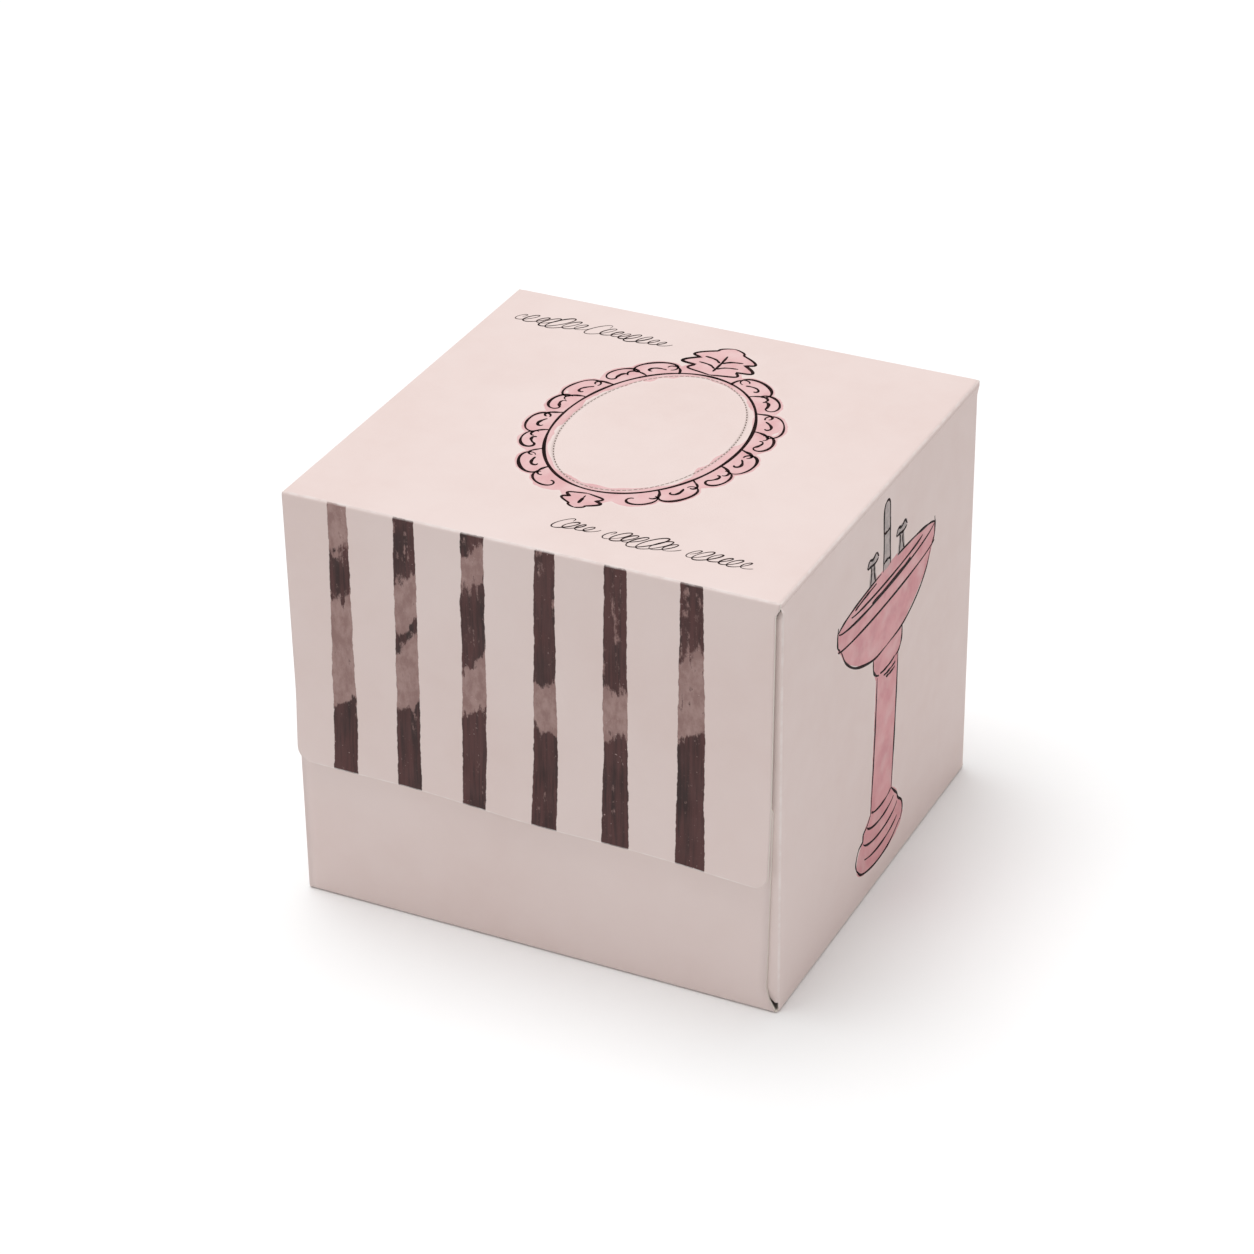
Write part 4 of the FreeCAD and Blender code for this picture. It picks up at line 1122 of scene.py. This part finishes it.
basinLines = np.stack(
    [arcLine(*row) if isinstance(row, tuple) else smoothLine(row) for row in basinRows]
    + [smoothLine(np.add(row, (tap, 0.0))) for tap in basin["taps"] for row in tapRows])
basinOnPanel = packed(basinLines[..., 0] - carton["halfDepth"], carton["height"] - basinLines[..., 1])
inkLines("basinLines", rightFace, basinOnPanel, pen["basin"], "ink", 65)
print("side print made")


# film under the mouth: two flat halves meeting at a slit, with faint ripples that die out at the glue
film = {"low": (-28.1, -37.65), "high": (31.9, 41.05), "top": 100.4, "gauge": 0.1, "slitHalf": 19.0,
        "slitWide": 0.2, "ripple": 0.22, "columns": 40, "rows": 90}
# its glue's section: how far outside the mouth's edge each corner lies, and how high, in film gauges
filmGlue = {"out": (3.0, 3.3, 4.5, 5.7, 6.0, 5.7, 4.5, 3.3), "high": (0.5, 0.9, 1.0, 0.9, 0.5, 0.1, 0.0, 0.1)}


def makeFilm():
    x = np.concatenate([np.linspace(film["low"][0], mouth["x"] - film["slitWide"], film["columns"]),
                        np.linspace(mouth["x"] + film["slitWide"], film["high"][0], film["columns"])])
    u, v = np.meshgrid(x, np.linspace(film["low"][1], film["high"][1], film["rows"]))
    closed = smoothStep(np.abs(v - mouth["y"]), film["slitHalf"] - 4, film["slitHalf"])
    u = u + (mouth["x"] - u) * closed * (np.abs(u - mouth["x"]) < film["slitWide"] * 1.5) * 0.98
    r = np.hypot((u - mouth["x"]) / mouth["halfWidth"], (v - mouth["y"]) / mouth["halfLength"])
    sag = smoothStep(1.0 - r, 0.0, 0.5) * film["ripple"] * (1 + 0.7 * softNoise(u, v, 16.0, 71))
    top = packed(u, v, film["top"] - sag)
    under = top - np.array([0, 0, film["gauge"]])
    halves = [
        slabPiece("filmHalf", top[:, part], under[:, part], [looks["film"]] * 2)
        for part in (slice(0, film["columns"]), slice(film["columns"], None))]
    bpy.context.view_layer.objects.active = halves[0]
    for half in bpy.data.objects:
        half.select_set(half in halves)
    bpy.ops.object.join()
    halves[0].name = halves[0].data.name = "dispensingFilm"
    finish(halves[0], "carton", "slit_film", "dispensing_film")


# The film's glue: a flat ring under the top, 3 to 6 mm outside the mouth, with a wandering edge.
def makeFilmGlue():
    turn = np.linspace(0, 2 * np.pi, 200, endpoint=False)[:, None]
    offset = np.array(filmGlue["out"])[None] + 0.25 * softNoise(turn * 30, 0 * turn, 18.0, 73)
    x, y = mouthPoint(turn, offset)
    points = packed(x, y, film["top"] + film["gauge"] * np.array(filmGlue["high"]))
    quads = quadsOf(gridNumbers(*x.shape, wrap=True, wrapRows=True))
    piece = makePiece("filmGlueLine", points, [quads[:, ::-1]], [looks["glue"]])
    finish(piece, "carton", "dry_glue", "film_glue_line")


# The glue line on the glue flap: a long flat dome along y, between the glue flap and the bottom.
def makeSeamGlue():
    low, high = (np.array(corner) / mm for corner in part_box("seam_glue_line"))
    middle, half = (low + high) / 2, (high - low) / 2
    across, level = domeSection()
    s = np.linspace(-1, 1, 80)[:, None]
    rounded = np.sqrt(np.clip(1 - np.abs(s) ** 30, 0.001, 1))
    wide = half[0] * (0.94 + 0.06 * softNoise(s * 45, 0 * s, 14.0, 75)) * rounded * across
    points = packed(middle[0] + wide, middle[1] + half[1] * s, middle[2] + half[2] * level * rounded)
    piece = makePiece("seamGlueLine", points, tubeFaces(*points.shape[:2]), [looks["glue"]])
    finish(piece, "carton", "dry_glue", "seam_glue_line")


makeFilm()
makeFilmGlue()
makeSeamGlue()


# the folded tissues: four upturned U bundles, one inside the other, and the first tissue over them
tissue = {"halfWidth": 54.3, "halfDepth": 51.8, "base": 1.1, "top": 87.5, "step": 13.325, "gap": 0.3,
          "shoulder": 0.78, "archSteps": 110, "leaves": 20, "ridge": 0.5, "jut": 0.45, "deepest": 0.9}
cover = {"wide": 128.0, "drop": 26.0, "outside": 1.0, "inside": 0.15, "ruffle": 0.16, "columns": 150, "rows": 100,
         "pinchTall": 3.8, "pinchWide": 1.7, "pinchHalf": 22.0, "waver": 0.6}


# Arch line: up one leg, a quarter circle of radius shoulder x half width, level, and down again.
# Returns places (x, z) and outward directions at shares of its length.
def archLine(inset, shares):
    half, top = tissue["halfWidth"] - inset, tissue["top"] - inset
    radius = tissue["shoulder"] * half
    leg, level, quarter = top - radius - tissue["base"], 2 * (half - radius), np.pi / 2 * radius
    ends = np.cumsum([leg, quarter, level, quarter, leg])
    s = shares * ends[-1]
    turn = sum(np.clip((s - start) / radius, 0, np.pi / 2) for start in (ends[0], ends[2]))
    x = np.clip(s - ends[1], 0, level) - half + radius - radius * np.cos(turn)
    z = tissue["base"] + np.minimum(np.minimum(s, ends[-1] - s), leg) + radius * np.sin(turn)
    return packed(x, z), packed(-np.cos(turn), np.sin(turn))


# A bundle: rings round its section, swept along the arch. At its two cut ends each leaf has a groove
# at both sides and juts out by its own amount.
def makeBundle(number, node):
    shares = np.linspace(0, 1, tissue["archSteps"])
    outer, _ = archLine(tissue["step"] * number, shares)
    inner, _ = archLine(tissue["step"] * (number + 1) - tissue["gap"], shares)
    depth = np.linspace(0, 1, tissue["leaves"] * 3 + 1)
    groove = (np.arange(len(depth)) % 3 == 0) * 1.0
    jut = np.repeat(np.random.default_rng(80 + number).uniform(0, tissue["jut"], tissue["leaves"]), 3)
    jut = np.concatenate([jut, jut[-1:]])
    edge = tissue["halfDepth"] - np.minimum(groove * tissue["ridge"] + jut, tissue["deepest"])
    level = np.linspace(-1, 1, 14)[1:-1] * (tissue["halfDepth"] - 1)
    flat = np.zeros(len(level))
    y = np.concatenate([level, edge, -level, -edge[::-1]])[None]
    share = np.concatenate([flat, depth, flat + 1, depth[::-1]])[None, :, None]
    # awayFromGrooveShade is 0 in each groove, where the bundle's material paints shade, and 1 on the leaves
    awayFromGrooveShade = 1 - np.concatenate([flat, groove, flat, groove[::-1]])
    place = outer[:, None] * (1 - share) + inner[:, None] * share
    slow = softNoise(shares[:, None] * 160, y * 0.4, 60.0, 90 + number)
    y = y - np.sign(y) * 0.18 * (1 + slow) * (np.abs(y) > tissue["halfDepth"] - 2)
    points = packed(place[..., 0], y, place[..., 1])
    sides, *caps = tubeFaces(*points.shape[:2])
    smooth = np.arange(len(sides) + len(caps)) < len(sides)
    piece = makePiece(camelName(node), points, [sides[:, ::-1], *caps], [looks["bundle"]], smooth)
    addPointValues(piece, "awayFromGrooveShade", np.broadcast_to(awayFromGrooveShade, points.shape[:2]))
    finish(piece, "carton", "tissue", node)


for number, name in enumerate(["outer", "second", "third", "inner"]):
    makeBundle(number, name + "_tissue_bundle")


# The first tissue: the arch line raised by its gauge, with a soft pinched ridge under the mouth.
# Ridge height = tall exp(-(x / width)^2), fading at both ends and wavering along its length.
def makeTopTissue():
    shares = np.linspace(0, 1, 400)
    above = np.nonzero(archLine(0.0, shares)[0][:, 1] > tissue["top"] - cover["drop"])[0]
    line, out = archLine(0.0, np.linspace(shares[above[0]], shares[above[-1]], cover["columns"]))
    v = np.linspace(-tissue["halfDepth"], tissue["halfDepth"], cover["rows"])
    x, y = np.meshgrid(line[:, 0], v, indexing="ij")
    waver = cover["waver"] * softNoise(0 * y, y, 30.0, 101)
    fading = 1 - smoothStep(np.abs(y - mouth["y"]) / cover["pinchHalf"], 0.72, 1.0)
    ridge = cover["pinchTall"] * np.exp(-((x - mouth["x"] - waver) / cover["pinchWide"]) ** 2) * fading

    def layer(lift, ruffle, raised):
        z = line[:, None, 1] + out[:, None, 1] * (lift + ruffle) + raised
        return packed(x + out[:, None, 0] * lift, y, z)

    outer = layer(cover["outside"], cover["ruffle"] * softNoise(x, y, 22.0, 103), ridge)
    piece = slabPiece("topTissue", outer, layer(cover["inside"], 0.0, ridge * 0.25), [looks["tissue"]] * 2)
    finish(piece, "carton", "tissue", "top_tissue")


makeTopTissue()
print("film and tissues made")


# floor, light and camera
studio = {
    "floorHalf": 3000.0, "floorColour": (0.960, 0.985, 0.992), "floorPale": (0.965, 0.988, 0.995),
    "world": 0.505, "worldColour": (1.0, 0.925, 0.898),
    "key": {"place": (-0.52, 0.10, 3.2), "aim": (0, 0, 0.05), "size": 2.3, "power": 70.5,
            "colour": (1.0, 1.018, 1.028)},
}
camera = {"azimuth": 26.06, "elevation": 30.27, "roll": -0.72, "lens": 109.0, "sensor": 36.0,
          "place": (0.3174, -0.6565, 0.4782)}


def makeFloor():
    half = studio["floorHalf"]
    points = [(-half, -half, 0), (half, -half, 0), (half, half, 0), (-half, half, 0)]
    n = Nodes("paleFloor")
    colour = n.mix(n.span(n.noise(3.0), 0.3, 0.7), studio["floorColour"], studio["floorPale"])
    makePiece("floor", points, [np.array([[0, 1, 2, 3]])], [n.finish(colour, 0.9, None, 0.1)])


def makeLights():
    world = bpy.data.worlds.new("softRoom")
    bpy.context.scene.world = world
    world.use_nodes = True
    background = world.node_tree.nodes["Background"]
    background.inputs["Color"].default_value = (*studio["worldColour"], 1.0)
    background.inputs["Strength"].default_value = studio["world"]
    key = studio["key"]
    light = bpy.data.lights.new("keyLight", "AREA")
    light.shape, light.size, light.energy, light.color = "DISK", key["size"], key["power"], key["colour"]
    lamp = bpy.data.objects.new("keyLight", light)
    lamp.location = key["place"]
    lamp.rotation_mode = "QUATERNION"
    lamp.rotation_quaternion = (Vector(key["aim"]) - lamp.location).to_track_quat("-Z", "Y")
    bpy.context.scene.collection.objects.link(lamp)


def makeCamera():
    a, e, r = (math.radians(camera[key]) for key in ("azimuth", "elevation", "roll"))
    back = Vector((math.sin(a) * math.cos(e), -math.cos(a) * math.cos(e), math.sin(e)))
    right = (-back).cross(Vector((0, 0, 1))).normalized()
    up = right.cross(-back)
    rolledRight = right * math.cos(r) + up * math.sin(r)
    rolledUp = up * math.cos(r) - right * math.sin(r)
    data = bpy.data.cameras.new("camera")
    data.lens, data.sensor_width = camera["lens"], camera["sensor"]
    holder = bpy.data.objects.new("camera", data)
    turned = Matrix((rolledRight, rolledUp, back)).transposed().to_4x4()
    holder.matrix_world = Matrix.Translation(camera["place"]) @ turned
    bpy.context.scene.collection.objects.link(holder)
    bpy.context.scene.camera = holder


makeFloor()
makeLights()
makeCamera()
bpy.context.scene.view_settings.view_transform = "Standard"
print("floor, lights and camera made")
